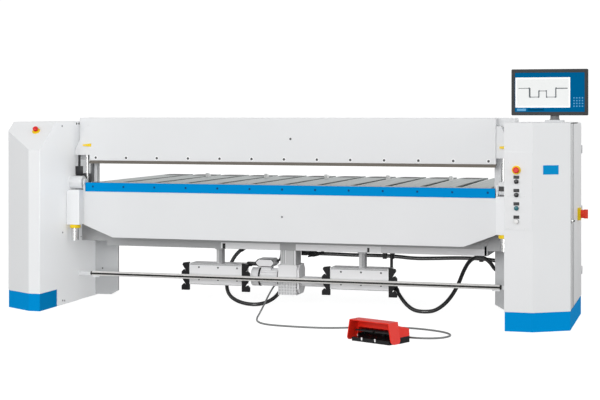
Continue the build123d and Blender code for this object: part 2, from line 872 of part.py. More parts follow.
# Central drive: a post with two grooves, and a cast gearbox with a ribbed lower half.
gear_top = raised(gearbox_top)
gear_waist = raised(gearbox_waist)
gear_low = raised(gearbox_bottom)
post = block(post_left, post_right, post_front, post_rear, gear_top, table_foot_bottom)
for groove_x in post_groove_places:
    post -= block(
        groove_x, groove_x + post_groove, post_front - far, post_front + post_groove,
        gear_top + gearbox_flange, table_foot_bottom + far,
    )
gearbox = block(gearbox_left, gearbox_right, gearbox_front, gearbox_rear, gear_waist, gear_top)
rib_core = gearbox_rib_depth
gearbox += block(
    gearbox_left + rib_core, gearbox_right - rib_core, gearbox_front + rib_core, gearbox_rear - rib_core,
    gear_low, gear_waist,
)
gearbox += block(
    gearbox_left - gearbox_rib, gearbox_right + gearbox_rib, gearbox_front - gearbox_rib,
    gearbox_rear + gearbox_rib, gear_top - gearbox_flange, gear_top,
)
rib_rows = int((gear_waist - gear_low) / gearbox_rib_pitch)
for row in range(rib_rows + 1):
    rib_z = gear_low + row * gearbox_rib_pitch
    gearbox += block(gearbox_left, gearbox_right, gearbox_front, gearbox_rear, rib_z, rib_z + gearbox_rib)
rib_columns = int((gearbox_right - gearbox_left) / gearbox_rib_pitch)
for column in range(rib_columns + 1):
    rib_x = gearbox_left + column * gearbox_rib_pitch
    gearbox += block(rib_x, rib_x + gearbox_rib, gearbox_front, gearbox_rear, gear_low, gear_waist)
flange_end = gearbox_right + shaft_flange_thick
shaft_flange = block(
    gearbox_right, flange_end, gearbox_front + shaft_flange_inset, gearbox_rear - shaft_flange_inset,
    gear_low + shaft_flange_inset, gear_top,
)
gearbox += chamfer(shaft_flange.edges().filter_by(Axis.X), length=shaft_flange_chamfer)
shaft_z = raised(shaft_height)
tube_end = along(shaft_tube_end)
gearbox += rod_x(flange_end, tube_end, shaft_y, shaft_z, shaft_tube_radius)
nodes["gearbox"] = gearbox

# Motor: a finned body with a fan cowl, and an eight-sided terminal box on a neck on top.
motor_z = raised(motor_height)
cowl_end = motor_end + motor_cowl_length
flange_start = gearbox_left - motor_flange_thick
motor = rod_x(motor_end, cowl_end, shaft_y, motor_z, motor_cowl_radius)
motor += rod_x(cowl_end, gearbox_left, shaft_y, motor_z, motor_core_radius)
motor += rod_x(flange_start, gearbox_left, shaft_y, motor_z, motor_cowl_radius)
for i in range(motor_fin_count):
    fin = block(
        cowl_end + motor_neck_length, flange_start - motor_neck_length,
        -motor_fin_thick / 2, motor_fin_thick / 2, motor_core_radius - far, motor_fin_radius,
    )
    motor += Pos(0, shaft_y, motor_z) * Rot(i * 360 / motor_fin_count, 0, 0) * fin
box_top = raised(terminal_top)
box_bottom = raised(terminal_bottom)
terminal_box = block(
    terminal_left, terminal_right, terminal_front, terminal_rear, box_bottom, box_top
)
terminal_box = chamfer(terminal_box.edges().filter_by(Axis.Y), length=terminal_chamfer)
terminal_neck = block(
    terminal_left + terminal_neck_inset, terminal_right - terminal_neck_inset,
    terminal_front + terminal_neck_inset, terminal_rear - terminal_neck_inset, motor_z, box_bottom,
)
nodes["drive_motor"] = motor + terminal_box + terminal_neck

# Drive units: one on each side of the gearbox, each a grooved profile on a hanging post.
unit_low = raised(unit_bottom)
unit_high = raised(unit_top)
left_middle = along(left_unit_middle)
right_middle = along(right_unit_middle)
unit_spans = [
    (left_middle - left_unit_length / 2, left_middle + left_unit_length / 2),
    (right_middle - right_unit_length / 2, right_middle + right_unit_length / 2),
]
units = []
unit_posts = []
for (unit_left, unit_right), unit_post_x in zip(
    unit_spans, (left_middle + left_post_offset, right_middle + right_post_offset)
):
    unit = block(unit_left, unit_right, unit_front, unit_rear, unit_low, unit_high)
    for groove_z in (unit_low + unit_groove_inset, unit_high - unit_groove_inset - unit_groove):
        unit -= block(
            unit_left - far, unit_right + far, unit_front - far, unit_front + unit_groove,
            groove_z, groove_z + unit_groove,
        )
    units.append(unit)
    half = unit_post_width / 2
    unit_post = block(
        unit_post_x - half, unit_post_x + half, unit_post_front, unit_post_rear, unit_high, table_foot_bottom
    )
    over = half + unit_post_flange_over
    unit_post += block(
        unit_post_x - over, unit_post_x + over,
        unit_post_front - unit_post_flange_over, unit_post_rear + unit_post_flange_over,
        table_foot_bottom - unit_post_flange, table_foot_bottom,
    )
    unit_posts.append(unit_post)
nodes["drive_units"] = Compound(units)
nodes["drive_posts"] = Compound([unit_posts[0], post, unit_posts[1]])

# End caps: flat black plates at the units' front corners, each with two hooked teeth one above the other.
# Points of one tooth: share of the cap's width outward, share of the tooth's height upward.
cap_tooth = [(1.0, 0.0), (1.0, 0.30), (0.74, 0.46), (0.36, 0.34), (0.90, 0.80), (0.78, 0.94)]
cap_low = raised(cap_bottom)
cap_high = raised(cap_top)


def end_cap(x, side):
    """An end cap whose teeth point to one side."""
    tooth = (cap_high - cap_low) / cap_teeth
    outline = [(0.0, cap_low)]
    for step in range(cap_teeth):
        for out, up in cap_tooth:
            outline.append((out * cap_width, cap_low + (step + up) * tooth))
    outline.append((0.0, cap_high))
    points = [(x + side * out, z) for out, z in outline]
    return front_shape(points, unit_front - cap_front_over, unit_front - cap_front_over + cap_thick)


caps = []
for unit_left, unit_right in unit_spans:
    caps.append(end_cap(unit_left, -1))
    caps.append(end_cap(unit_right, 1))
nodes["unit_end_caps"] = Compound(caps)

# A short riser carries the wiring from the table beam down to the right unit's top.
riser_x = unit_spans[1][1] - riser_radius
nodes["wiring_riser"] = rod_z(riser_x, riser_y, unit_high, table_foot_bottom, riser_radius)

# Foot switch: base, hood and two pedals, standing on the floor in front.
fs_middle = along(fs_x)
fs_place = Pos(fs_middle, fs_y, 0) * Rot(0, 0, fs_turn)
rim_out = hood_back_half
fs_base = block(-fs_base_half, fs_base_half, fs_base_front, hood_step, 0, fs_base_thick)
fs_base += block(-rim_out, rim_out, hood_step, fs_base_rear, 0, fs_base_thick)
rim = block(-rim_out, rim_out, hood_step, fs_base_rear, 0, fs_rim_height)
rim -= block(
    -rim_out + hood_wall, rim_out - hood_wall, hood_step - far, fs_base_rear - hood_wall,
    -far, fs_rim_height + far,
)
fs_base += rim
ear_top = pedal_pivot_height + ear_over
ear_y0 = pedal_pivot_y - ear_depth / 2
for ear_x in (-fs_base_half, -ear_spread, ear_spread, fs_base_half):
    fs_base += block(
        ear_x - ear_thick / 2, ear_x + ear_thick / 2, ear_y0, ear_y0 + ear_depth, fs_base_thick, ear_top
    )
fs_base += rod_x(-fs_base_half, fs_base_half, pedal_pivot_y, pedal_pivot_height, pedal_pin_radius)
fs_base += rod_y(0, fs_base_rear, fs_base_rear + cable_gland_length, fs_base_thick / 2, cable_gland_radius)
nodes["foot_switch_base"] = fs_place * fs_base


def hood_form(inset):
    """The hood's outside form, or its inside form drawn in by the wall."""
    low = hood_low_half - inset
    top = hood_top_half - inset
    high = hood_height - inset
    front = front_shape([(-low, hood_low), (-top, high), (top, high), (low, hood_low)], hood_front, hood_step)
    cheek = block(-low - far, low + far, hood_front, hood_step, hood_low, high)
    corners = cheek.edges().filter_by(Axis.X).group_by(Axis.Z)[0]
    front &= fillet(corners, radius=hood_corner)
    back_low = hood_back_half - inset
    back_top = hood_back_top_half - inset
    back_high = hood_back_height - inset
    back = front_shape(
        [(-back_low, fs_rim_height), (-back_top, back_high), (back_top, back_high), (back_low, fs_rim_height)],
        hood_step, fs_base_rear - inset,
    )
    rear_slope = section(
        [
            (hood_step, fs_rim_height),
            (hood_step, back_high),
            (fs_base_rear - inset, hood_rear_height - inset),
            (fs_base_rear - inset, fs_rim_height),
        ],
        -back_low - far, back_low + far,
    )
    return front + (back & rear_slope)


inner_low = hood_low_half - hood_wall
inner_top = hood_top_half - hood_wall
hood_hollow = front_shape(
    [
        (-inner_low - hood_wall, hood_low - hood_wall),
        (-inner_low, hood_low),
        (-inner_top, hood_height - hood_wall),
        (inner_top, hood_height - hood_wall),
        (inner_low, hood_low),
        (inner_low + hood_wall, hood_low - hood_wall),
    ],
    hood_front - far, hood_step - hood_wall,
)
back_hollow = front_shape(
    [
        (-hood_back_half + hood_wall, fs_rim_height - far),
        (-hood_back_top_half + hood_wall, hood_rear_height - hood_wall),
        (hood_back_top_half - hood_wall, hood_rear_height - hood_wall),
        (hood_back_half - hood_wall, fs_rim_height - far),
    ],
    hood_step - hood_wall - far, fs_base_rear - hood_wall,
)
cheek_gap = block(
    -hood_back_half, hood_back_half, hood_step - hood_wall - far, hood_step + far, -far, fs_rim_height
)
hood = hood_form(0) - hood_hollow - back_hollow - cheek_gap
nodes["foot_switch_hood"] = fs_place * hood
pedals = []
for pedal_side in (-1, 1):
    plate = block(-pedal_width / 2, pedal_width / 2, -pedal_length, 0, 0, pedal_thick)
    for i in range(pedal_tread_count):
        tread_y = -pedal_length + (2 * i + 1) * 2 * pedal_tread
        plate += block(
            -pedal_width / 2, pedal_width / 2, tread_y, tread_y + pedal_tread, pedal_thick,
            pedal_thick + pedal_tread / 2,
        )
    pedal = plate + Rot(0, 90, 0) * Cylinder(pedal_barrel_radius, pedal_width)
    pedal -= Rot(0, 90, 0) * Cylinder(pedal_pin_radius + pin_gap, pedal_width + 2 * far)
    pedal_place = Pos(pedal_side * pedal_spread, pedal_pivot_y, pedal_pivot_height)
    pedals.append(fs_place * pedal_place * Rot(-pedal_rest_rise, 0, 0) * pedal)
nodes["left_pedal"] = pedals[0]
nodes["right_pedal"] = pedals[1]


def cord_radii(route):
    """The bend radius at each inner point: 0.45 of the shorter run over the tangent of half the turn."""
    points = [Vector(*p) for p in route]
    radii = []
    for a, b, c in zip(points, points[1:], points[2:]):
        turn = math.radians((b - a).get_angle(c - b))
        radii.append(0.45 * min((b - a).length, (c - b).length) / math.tan(turn / 2))
    return radii


def cord_tube(name, route, diameter):
    """A tube along straight runs joined by tangent arcs."""
    radii = cord_radii(route)
    path = FilletPolyline(*route, radius=radii)
    start = Vector(*route[0])
    profile = Plane(origin=start, z_dir=Vector(*route[1]) - start) * Circle(diameter / 2)
    tube = sweep(profile, path=path)
    share = tube.volume / (math.pi * diameter**2 / 4 * path.length)
    print(name, "length", round(path.length), "smallest radius", round(min(radii)), "volume share", round(share, 4))
    return tube


def led(points, diameter):
    """A cord's points, in step with the machine, and none lower than a cord that lies on the floor."""
    low = diameter / 2 + floor_clear
    return [(along(x), y, max(raised(z), low)) for x, y, z in points]


# The foot switch's cable drops from a gland under the table beam and runs over the floor.
gland_low = table_foot_bottom - gland_drop
cable_points = [
    (-78, 436, 345),
    (-86, 432, 280),
    (-112, 410, 225),
    (-146, 368, 178),
    (-166, 310, 137),
    (-170, 230, 100),
    (-168, 150, 67),
    (-163, 70, 36),
    (-155, -10, 12),
    (-137, -100, 7),
    (-114, -190, 7),
    (-93, -280, 7),
    (-72, -372, 7),
    (-48, -460, 7),
    (-20, -548, 7),
    (28, -640, 7),
    (100, -705, 7),
    (190, -730, 7),
    (290, -744, 7),
    (400, -750, 7),
    (505, -746, 7),
    (600, -722, 7),
    (690, -680, 7),
    (780, -640, 7),
    (880, -606, 7),
    (985, -585, 7),
    (1085, -585, 7),
    (1175, -608, 7),
    (1262, -646, 7),
    (1345, -702, 7),
    (1400, -785, 7),
    (1402, -870, 7),
    (1358, -950, 7),
    (1275, -985, 7),
    (1190, -985, 7),
    (1135, -972, 9),
]
gland_end = fs_base_rear + cable_gland_length
gland_level = fs_base_thick / 2
cable_route = [
    (along(cable_drop_x), cable_drop_y, gland_low),
    *led(cable_points, cable_diameter),
    tuple((fs_place * Pos(0, gland_end + cable_exit_run, gland_level)).position),
    tuple((fs_place * Pos(0, gland_end, gland_level)).position),
]
nodes["foot_switch_cable"] = cord_tube("foot_switch_cable", cable_route, cable_diameter)

# Left conduit: hangs in a deep loop from the table beam, under the left unit and up behind the gearbox.
left_conduit_points = [
    (-462, 450, 408),
    (-508, 450, 372),
    (-553, 448, 305),
    (-583, 430, 205),
    (-573, 385, 112),
    (-524, 312, 58),
    (-440, 235, 30),
    (-340, 172, 17),
    (-245, 165, 16),
    (-185, 235, 30),
    (-142, 320, 66),
    (-120, 410, 130),
    (-114, 470, 210),
    (-116, 500, 300),
]
left_conduit_route = led(left_conduit_points, conduit_diameter)
left_conduit_route.append((left_conduit_route[-1][0], left_conduit_route[-1][1], gland_low))
nodes["left_conduit"] = cord_tube("left_conduit", left_conduit_route, conduit_diameter)

# Right conduit: leaves a gland on the right unit's end, hangs to the floor and rises to the right leg.
right_conduit_points = [
    (800, 278, 152),
    (842, 250, 96),
    (900, 205, 46),
    (965, 160, 18),
    (1040, 140, 16),
    (1110, 160, 22),
    (1170, 215, 62),
    (1215, 285, 120),
    (1252, 360, 200),
    (1276, 430, 290),
    (1318, 484, 372),
    (1395, 512, 398),
    (1462, 526, 352),
    (1500, 540, 285),
    (1600, 545, 262),
    (1708.5, 545, 250),
]
right_conduit_route = led(right_conduit_points, conduit_diameter)
right_conduit_route[-1] = (clear_half, right_conduit_route[-1][1], right_conduit_route[-1][2])
nodes["right_conduit"] = cord_tube("right_conduit", right_conduit_route, conduit_diameter)

# Upper conduit: runs from the junction block beside the post, along the table beam, to the right stand.
upper_conduit_points = [
    (104, 560, 375),
    (250, 560, 375),
    (400, 560, 371),
    (560, 560, 374),
    (735, 560, 371),
    (880, 560, 358),
    (1040, 560, 364),
    (1200, 560, 372),
    (1340, 562, 373),
    (1460, 565, 366),
    (1580, 568, 345),
    (1708.5, 570, 334),
]
upper_conduit_route = led(upper_conduit_points, conduit_diameter)
upper_conduit_route[-1] = (clear_half, upper_conduit_route[-1][1], upper_conduit_route[-1][2])
nodes["upper_conduit"] = cord_tube("upper_conduit", upper_conduit_route, conduit_diameter)

# Motor cable: from the terminal box up to the table beam.
motor_cable_points = [(-165, 300, 357), (-165, 300, 380), (-130, 300, 403), (-130, 300, 430)]
motor_cable_route = led(motor_cable_points, motor_cable_diameter)
nodes["motor_cable"] = cord_tube("motor_cable", motor_cable_route, motor_cable_diameter)


# Glands under the table beam and the wiring holders: two saddles and a junction block.
def angled_rod(point, toward, radius, length):
    """A round bar that ends at a point, pointing from there toward another."""
    start = Vector(*point)
    face = Plane(origin=start, z_dir=start - Vector(*toward)) * Circle(radius)
    return extrude(face, amount=length)


def beam_gland(x, y):
    """A round gland that hangs from the table beam's underside."""
    return rod_z(x, y, gland_low, table_foot_bottom, gland_radius)


def saddle(x, y, z):
    """A moulded block under the table beam with a wide bore for a conduit."""
    bore = conduit_diameter / 2 + saddle_bore_gap
    body = block(
        x - saddle_width / 2, x + saddle_width / 2, y - saddle_depth / 2, y + saddle_depth / 2,
        z - bore - saddle_floor, table_foot_bottom,
    )
    return body - rod_x(x - saddle_width, x + saddle_width, y, z, bore)


angled_gland = angled_rod(left_conduit_route[0], left_conduit_route[1], gland_radius, angled_gland_length)
angled_gland &= block(-work_half, 0, 0, table_rear, 0, table_foot_bottom)
outlet_gland = angled_rod(right_conduit_route[0], right_conduit_route[1], gland_radius, outlet_length)
outlet_gland &= block(unit_spans[1][1], work_half, 0, table_rear, 0, table_foot_bottom)
nodes["cable_glands"] = Compound(
    [
        beam_gland(*cable_route[0][:2]),
        beam_gland(*left_conduit_route[-1][:2]),
        angled_gland,
        outlet_gland,
    ]
)
junction_end = upper_conduit_route[0][0]
nodes["conduit_holders"] = Compound(
    [
        block(
            junction_end - junction_width, junction_end, junction_front, junction_rear,
            table_foot_bottom - junction_height, table_foot_bottom,
        ),
        saddle(along(first_saddle), first_saddle_y, raised(first_saddle_z)),
        saddle(along(second_saddle), second_saddle_y, raised(second_saddle_z)),
    ]
)

# Every piece is moved so that the origin is at the middle of the machine's plan, and written out.
reach_right = screen_x + monitor_half
centre_x = (reach_right - left_outer) / 2
centre_y = (left_front + table_rear) / 2
os.makedirs("parts", exist_ok=True)
for name, shape in nodes.items():
    export_step(Pos(-centre_x, -centre_y, 0) * shape, f"parts/{name}.step")
print("origin at", centre_x, centre_y, "nodes", len(nodes))
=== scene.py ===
import math

import bmesh
import bpy
from mathutils import Matrix, Vector


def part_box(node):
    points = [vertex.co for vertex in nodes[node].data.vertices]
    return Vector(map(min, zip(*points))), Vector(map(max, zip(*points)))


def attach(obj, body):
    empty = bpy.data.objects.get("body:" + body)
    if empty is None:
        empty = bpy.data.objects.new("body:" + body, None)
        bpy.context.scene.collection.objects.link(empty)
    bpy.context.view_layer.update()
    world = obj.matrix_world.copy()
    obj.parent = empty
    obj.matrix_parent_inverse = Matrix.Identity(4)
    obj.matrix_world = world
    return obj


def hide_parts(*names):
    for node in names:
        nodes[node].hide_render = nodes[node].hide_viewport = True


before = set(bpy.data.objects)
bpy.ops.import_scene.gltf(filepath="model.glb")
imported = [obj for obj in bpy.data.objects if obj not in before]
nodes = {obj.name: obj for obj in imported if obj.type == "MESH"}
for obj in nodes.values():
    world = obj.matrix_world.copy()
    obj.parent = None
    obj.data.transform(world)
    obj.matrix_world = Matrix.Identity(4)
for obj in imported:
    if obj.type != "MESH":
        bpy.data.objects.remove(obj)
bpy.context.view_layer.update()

# Camera: level, at eye height, in front of the machine's right half and turned toward its middle.
# The picture is shifted down instead of the camera being tilted, so upright edges stay upright.
photo_width = 600
focal_pixels = 1387
horizon_above_middle = 85
camera_data = bpy.data.cameras.new("camera")
camera_data.sensor_width = 36
camera_data.lens = camera_data.sensor_width * focal_pixels / photo_width
camera_data.shift_y = -horizon_above_middle / photo_width
camera_data.clip_end = 200
camera = bpy.data.objects.new("camera", camera_data)
camera.location = (2.9125, -10.362, 1.45)
camera.rotation_euler = (math.radians(90), 0, math.radians(16.3))
bpy.context.collection.objects.link(camera)
bpy.context.scene.camera = camera

# Studio: white walls and ceiling all round, a dark floor beyond the set with a paler patch under it,
# and large soft lights in front, so faces turned different ways differ by a few shades only.
bpy.context.scene.view_settings.view_transform = "Standard"
world = bpy.data.worlds.new("studio")
world.use_nodes = True
tree = world.node_tree
direction = tree.nodes.new("ShaderNodeTexCoord").outputs["Generated"]
parts = tree.nodes.new("ShaderNodeSeparateXYZ")
tree.links.new(direction, parts.inputs["Vector"])
height = tree.nodes.new("ShaderNodeMapRange")
height.inputs["From Min"].default_value = -1
height.inputs["From Max"].default_value = 1
tree.links.new(parts.outputs["Z"], height.inputs["Value"])


def shades(tree, pattern, stops):
    """A pattern turned into colours, from (position, colour) stops."""
    node = tree.nodes.new("ShaderNodeValToRGB")
    ramp = node.color_ramp
    while len(ramp.elements) < len(stops):
        ramp.elements.new(0.5)
    for element, (position, colour) in zip(ramp.elements, stops):
        element.position = position
        element.color = (*colour, 1)
    tree.links.new(pattern, node.inputs["Fac"])
    return node.outputs["Color"]


room = shades(tree, height.outputs["Result"], [
    (0.0, (0.60, 0.60, 0.60)),
    (0.16, (0.52, 0.52, 0.52)),
    (0.24, (0.05, 0.05, 0.05)),
    (0.44, (0.05, 0.05, 0.05)),
    (0.485, (1.0, 1.0, 1.0)),
    (0.62, (1.0, 1.0, 1.0)),
    (0.76, (0.66, 0.66, 0.66)),
    (1.0, (0.55, 0.55, 0.55)),
])
tree.links.new(room, tree.nodes["Background"].inputs["Color"])
tree.nodes["Background"].inputs["Strength"].default_value = 1.06
bpy.context.scene.world = world


def soft_light(name, place, aim, width, power):
    """A square softbox that shines from one place toward another; gives back the light."""
    data = bpy.data.lights.new(name, "AREA")
    data.size = width
    data.energy = power
    light = bpy.data.objects.new(name, data)
    light.location = place
    light.rotation_euler = (Vector(aim) - Vector(place)).to_track_quat("-Z", "Y").to_euler()
    bpy.context.collection.objects.link(light)
    return light


soft_light("front_softbox", (-0.9, -11.5, 2.6), (0, 0, 0.8), 6.0, 560)
soft_light("right_softbox", (10.0, -2.0, 2.2), (2.0, 0, 0.7), 3.0, 150)
left_fill = soft_light("left_side_fill", (5.0, -2.8, 0.5), (-1.8, -0.3, 0.3), 2.0, 175)
lit_side = bpy.data.collections.new("left_side")
for name in ("left_housing", "left_stand", "inner_panels"):
    lit_side.objects.link(nodes[name])
left_fill.light_linking.receiver_collection = lit_side
left_fill.light_linking.blocker_collection = lit_side

# Floor: a plain studio floor, lit evenly from within so that it stays white. It isn't part of the machine.
# It sends no light back up, as a real floor outside the lit set would not.
def new_finish(name):
    """A new material, with its node tree, its shader and the object's own coordinates."""
    material = bpy.data.materials.new(name)
    material.use_nodes = True
    tree = material.node_tree
    place = tree.nodes.new("ShaderNodeTexCoord").outputs["Object"]
    return material, tree, tree.nodes["Principled BSDF"], place


def grain(tree, place, scale, stretch=(1, 1, 1), detail=3.0):
    """A noise pattern, stretched along an axis where its factor is below 1."""
    mapping = tree.nodes.new("ShaderNodeMapping")
    mapping.inputs["Scale"].default_value = stretch
    tree.links.new(place, mapping.inputs["Vector"])
    noise = tree.nodes.new("ShaderNodeTexNoise")
    noise.inputs["Scale"].default_value = scale
    noise.inputs["Detail"].default_value = detail
    tree.links.new(mapping.outputs["Vector"], noise.inputs["Vector"])
    return noise.outputs["Fac"]


floor_reach = 60
floor_mesh = bpy.data.meshes.new("floor")
corners = [(-floor_reach, -floor_reach, 0), (floor_reach, -floor_reach, 0)]
corners += [(floor_reach, floor_reach, 0), (-floor_reach, floor_reach, 0)]
floor_mesh.from_pydata(corners, [], [(0, 1, 2, 3)])
floor = bpy.data.objects.new("floor", floor_mesh)
bpy.context.collection.objects.link(floor)
floor_finish, tree, shader, place = new_finish("pale_floor")
floor_colour = shades(tree, grain(tree, place, 1.5), [(0.3, (0.28, 0.28, 0.28)), (0.7, (0.30, 0.30, 0.30))])
tree.links.new(floor_colour, shader.inputs["Base Color"])
shader.inputs["Roughness"].default_value = 0.9
shader.inputs["Specular IOR Level"].default_value = 0.0
shader.inputs["Emission Color"].default_value = (1, 1, 1, 1)
shader.inputs["Emission Strength"].default_value = 0.9
floor.visible_diffuse = False
floor.visible_glossy = False
floor_mesh.materials.append(floor_finish)

# Foot switch cable: a grey round cable that drops from a gland under the table beam and runs over the
# floor in one wide wave, then round to the back of the foot switch. Cut from the reel, matt PVC sheath.
# Routes and places are given from the middle of the working length, the bend line and the floor.
rail_low, rail_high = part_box("folding_rail")
rail_set_back = 0.002
bend_line = Vector(((rail_low[0] + rail_high[0]) / 2, rail_high[1] + rail_set_back, 0))
cable_diameter = 0.013
cable_points = [
    (-0.078, 0.436, 0.406),
    (-0.078, 0.436, 0.345),
    (-0.086, 0.432, 0.280),
    (-0.112, 0.410, 0.225),
    (-0.146, 0.368, 0.178),
    (-0.166, 0.310, 0.137),
    (-0.170, 0.230, 0.100),
    (-0.168, 0.150, 0.067),
    (-0.163, 0.070, 0.036),
    (-0.155, -0.010, 0.012),
    (-0.137, -0.100, 0.007),
    (-0.114, -0.190, 0.007),
    (-0.093, -0.280, 0.007),
    (-0.072, -0.372, 0.007),
    (-0.048, -0.460, 0.007),
    (-0.020, -0.548, 0.007),
    (0.028, -0.640, 0.007),
    (0.100, -0.705, 0.007),
    (0.190, -0.730, 0.007),
    (0.290, -0.744, 0.007),
    (0.400, -0.750, 0.007),
    (0.505, -0.746, 0.007),
    (0.600, -0.722, 0.007),
    (0.690, -0.680, 0.007),
    (0.780, -0.640, 0.007),
    (0.880, -0.606, 0.007),
    (0.985, -0.585, 0.007),
    (1.085, -0.585, 0.007),
    (1.175, -0.608, 0.007),
    (1.262, -0.646, 0.007),
    (1.345, -0.702, 0.007),
    (1.400, -0.785, 0.007),
    (1.402, -0.870, 0.007),
    (1.358, -0.950, 0.007),
    (1.275, -0.985, 0.007),
    (1.190, -0.985, 0.007),
    (1.135, -0.972, 0.009),
    (1.0734, -0.9651, 0.012),
    (1.0464, -1.0257, 0.012),
]


def at(x, y, z):
    """A point given from the middle of the working length, the bend line and the floor."""
    return bend_line + Vector((x, y, z))


def cord_curve(name, points, diameter, finish):
    """A round cord along one smooth line."""
    curve = bpy.data.curves.new(name, "CURVE")
    curve.dimensions = "3D"
    line = curve.splines.new("NURBS")
    line.points.add(len(points) - 1)
    for control, point in zip(line.points, points):
        control.co = (*at(*point), 1)
    line.order_u = 3
    line.use_endpoint_u = True
    curve.resolution_u = 8
    curve.bevel_depth = diameter / 2
    curve.bevel_resolution = 4
    curve.materials.append(finish)
    cord = bpy.data.objects.new(name, curve)
    bpy.context.collection.objects.link(cord)
    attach(cord, "machine_frame")
    return cord


def span(tree, pattern, low, high):
    """A pattern turned into a number that runs from low to high."""
    node = tree.nodes.new("ShaderNodeMapRange")
    node.inputs["To Min"].default_value = low
    node.inputs["To Max"].default_value = high
    tree.links.new(pattern, node.inputs["Value"])
    return node.outputs["Result"]


def roughen(tree, shader, pattern, depth):
    """Gives a surface the relief of a pattern, so many metres deep."""
    bump = tree.nodes.new("ShaderNodeBump")
    bump.inputs["Distance"].default_value = depth
    bump.inputs["Strength"].default_value = 1.0
    tree.links.new(pattern, bump.inputs["Height"])
    tree.links.new(bump.outputs["Normal"], shader.inputs["Normal"])


def rubber(name, colour, roughness, shine=0.3):
    """A matt rubber or soft plastic with faint dust."""
    material, tree, shader, place = new_finish(name)
    dust = grain(tree, place, 60, detail=4)
    pale = tuple(min(1, channel * 1.2 + 0.002) for channel in colour)
    tree.links.new(shades(tree, dust, [(0.35, colour), (0.75, pale)]), shader.inputs["Base Color"])
    tree.links.new(span(tree, dust, roughness - 0.08, roughness + 0.08), shader.inputs["Roughness"])
    shader.inputs["Specular IOR Level"].default_value = shine
    roughen(tree, shader, grain(tree, place, 900), 0.00015)
    return material


cable_sheath = rubber("grey_cable_sheath", (0.20, 0.205, 0.205), 0.4)
cable = cord_curve("foot_cable", cable_points, cable_diameter, cable_sheath)
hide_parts("foot_switch_cable")

# Conduits: black plastic hoses that carry the wiring between the drives, the table beam and the stand.
# Each is one length of smooth-sheathed hose, pushed into a gland at both ends; the motor has a short lead.
conduit_diameter = 0.029
left_conduit_points = [
    (-0.462, 0.450, 0.408),
    (-0.508, 0.450, 0.372),
    (-0.553, 0.448, 0.305),
    (-0.583, 0.430, 0.205),
    (-0.573, 0.385, 0.112),
    (-0.524, 0.312, 0.058),
    (-0.440, 0.235, 0.030),
    (-0.340, 0.172, 0.017),
    (-0.245, 0.165, 0.016),
    (-0.185, 0.235, 0.030),
    (-0.142, 0.320, 0.066),
    (-0.120, 0.410, 0.130),
    (-0.114, 0.470, 0.210),
    (-0.116, 0.500, 0.300),
    (-0.116, 0.500, 0.406),
]
right_conduit_points = [
    (0.800, 0.278, 0.152),
    (0.842, 0.250, 0.096),
    (0.900, 0.205, 0.046),
    (0.965, 0.160, 0.018),
    (1.040, 0.140, 0.016),
    (1.110, 0.160, 0.022),
    (1.170, 0.215, 0.062),
    (1.215, 0.285, 0.120),
    (1.252, 0.360, 0.200),
    (1.276, 0.430, 0.290),
    (1.318, 0.484, 0.372),
    (1.395, 0.512, 0.398),
    (1.462, 0.526, 0.352),
    (1.500, 0.540, 0.285),
    (1.600, 0.545, 0.262),
    (1.7085, 0.545, 0.250),
]
upper_conduit_points = [
    (0.104, 0.560, 0.375),
    (0.250, 0.560, 0.375),
    (0.400, 0.560, 0.371),
    (0.560, 0.560, 0.374),
    (0.735, 0.560, 0.371),
    (0.880, 0.560, 0.358),
    (1.040, 0.560, 0.364),
    (1.200, 0.560, 0.372),
    (1.340, 0.562, 0.373),
    (1.460, 0.565, 0.366),
    (1.580, 0.568, 0.345),
    (1.7085, 0.570, 0.334),
]
motor_lead_diameter = 0.018
motor_lead_points = [
    (-0.150, 0.300, 0.332),
    (-0.120, 0.300, 0.336),
    (-0.100, 0.300, 0.368),
    (-0.098, 0.300, 0.430),
]
hose_black = rubber("black_hose", (0.006, 0.006, 0.007), 0.24, 1.0)


def conduit(name, node, points, diameter):
    """A hose or lead that stands for its plain solid."""
    hose = cord_curve(name, points, diameter, hose_black)
    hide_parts(node)
    return hose


for name, node, points, length in (
    ("left_hose", "left_conduit", left_conduit_points, 1.37),
    ("right_hose", "right_conduit", right_conduit_points, 1.37),
    ("upper_hose", "upper_conduit", upper_conduit_points, 1.61),
):
    conduit(name, node, points, conduit_diameter)
conduit("motor_lead", "motor_cable", motor_lead_points, motor_lead_diameter)


# Glands: black moulded cable glands, each a hexagon nut, a domed cap nut and a tapered sleeve that
# keeps the cord from kinking. They screw into the table beam, the right drive unit and the foot switch.
def on_circle(radius, step, sides, height=0.0):
    """A point on a circle round the z axis, so many steps along it."""
    angle = 2 * math.pi * step / sides
    return Vector((radius * math.cos(angle), radius * math.sin(angle), height))


def turned(form, place, profile, sides=24, finish=0):
    """Adds a turned form: a profile of (radius, height) points spun round the z axis of a place."""
    rings = []
    for radius, height in profile:
        if radius == 0:
            rings.append([form.verts.new(place @ Vector((0, 0, height)))])
            continue
        ring = [place @ on_circle(radius, step, sides, height) for step in range(sides)]
        rings.append([form.verts.new(point) for point in ring])
    for lower, upper in zip(rings, rings[1:]):
        for step in range(sides):
            after = (step + 1) % sides
            if len(lower) == 1:
                corners = [lower[0], upper[after], upper[step]]
            elif len(upper) == 1:
                corners = [lower[step], lower[after], upper[0]]
            else:
                corners = [lower[step], lower[after], upper[after], upper[step]]
            form.faces.new(corners).material_index = finish


def facing(point, direction):
    """A place at a point whose z axis looks in a direction."""
    turn = Vector(direction).to_track_quat("Z", "Y").to_matrix().to_4x4()
    return Matrix.Translation(point) @ turn


sharp_angle = math.radians(35)


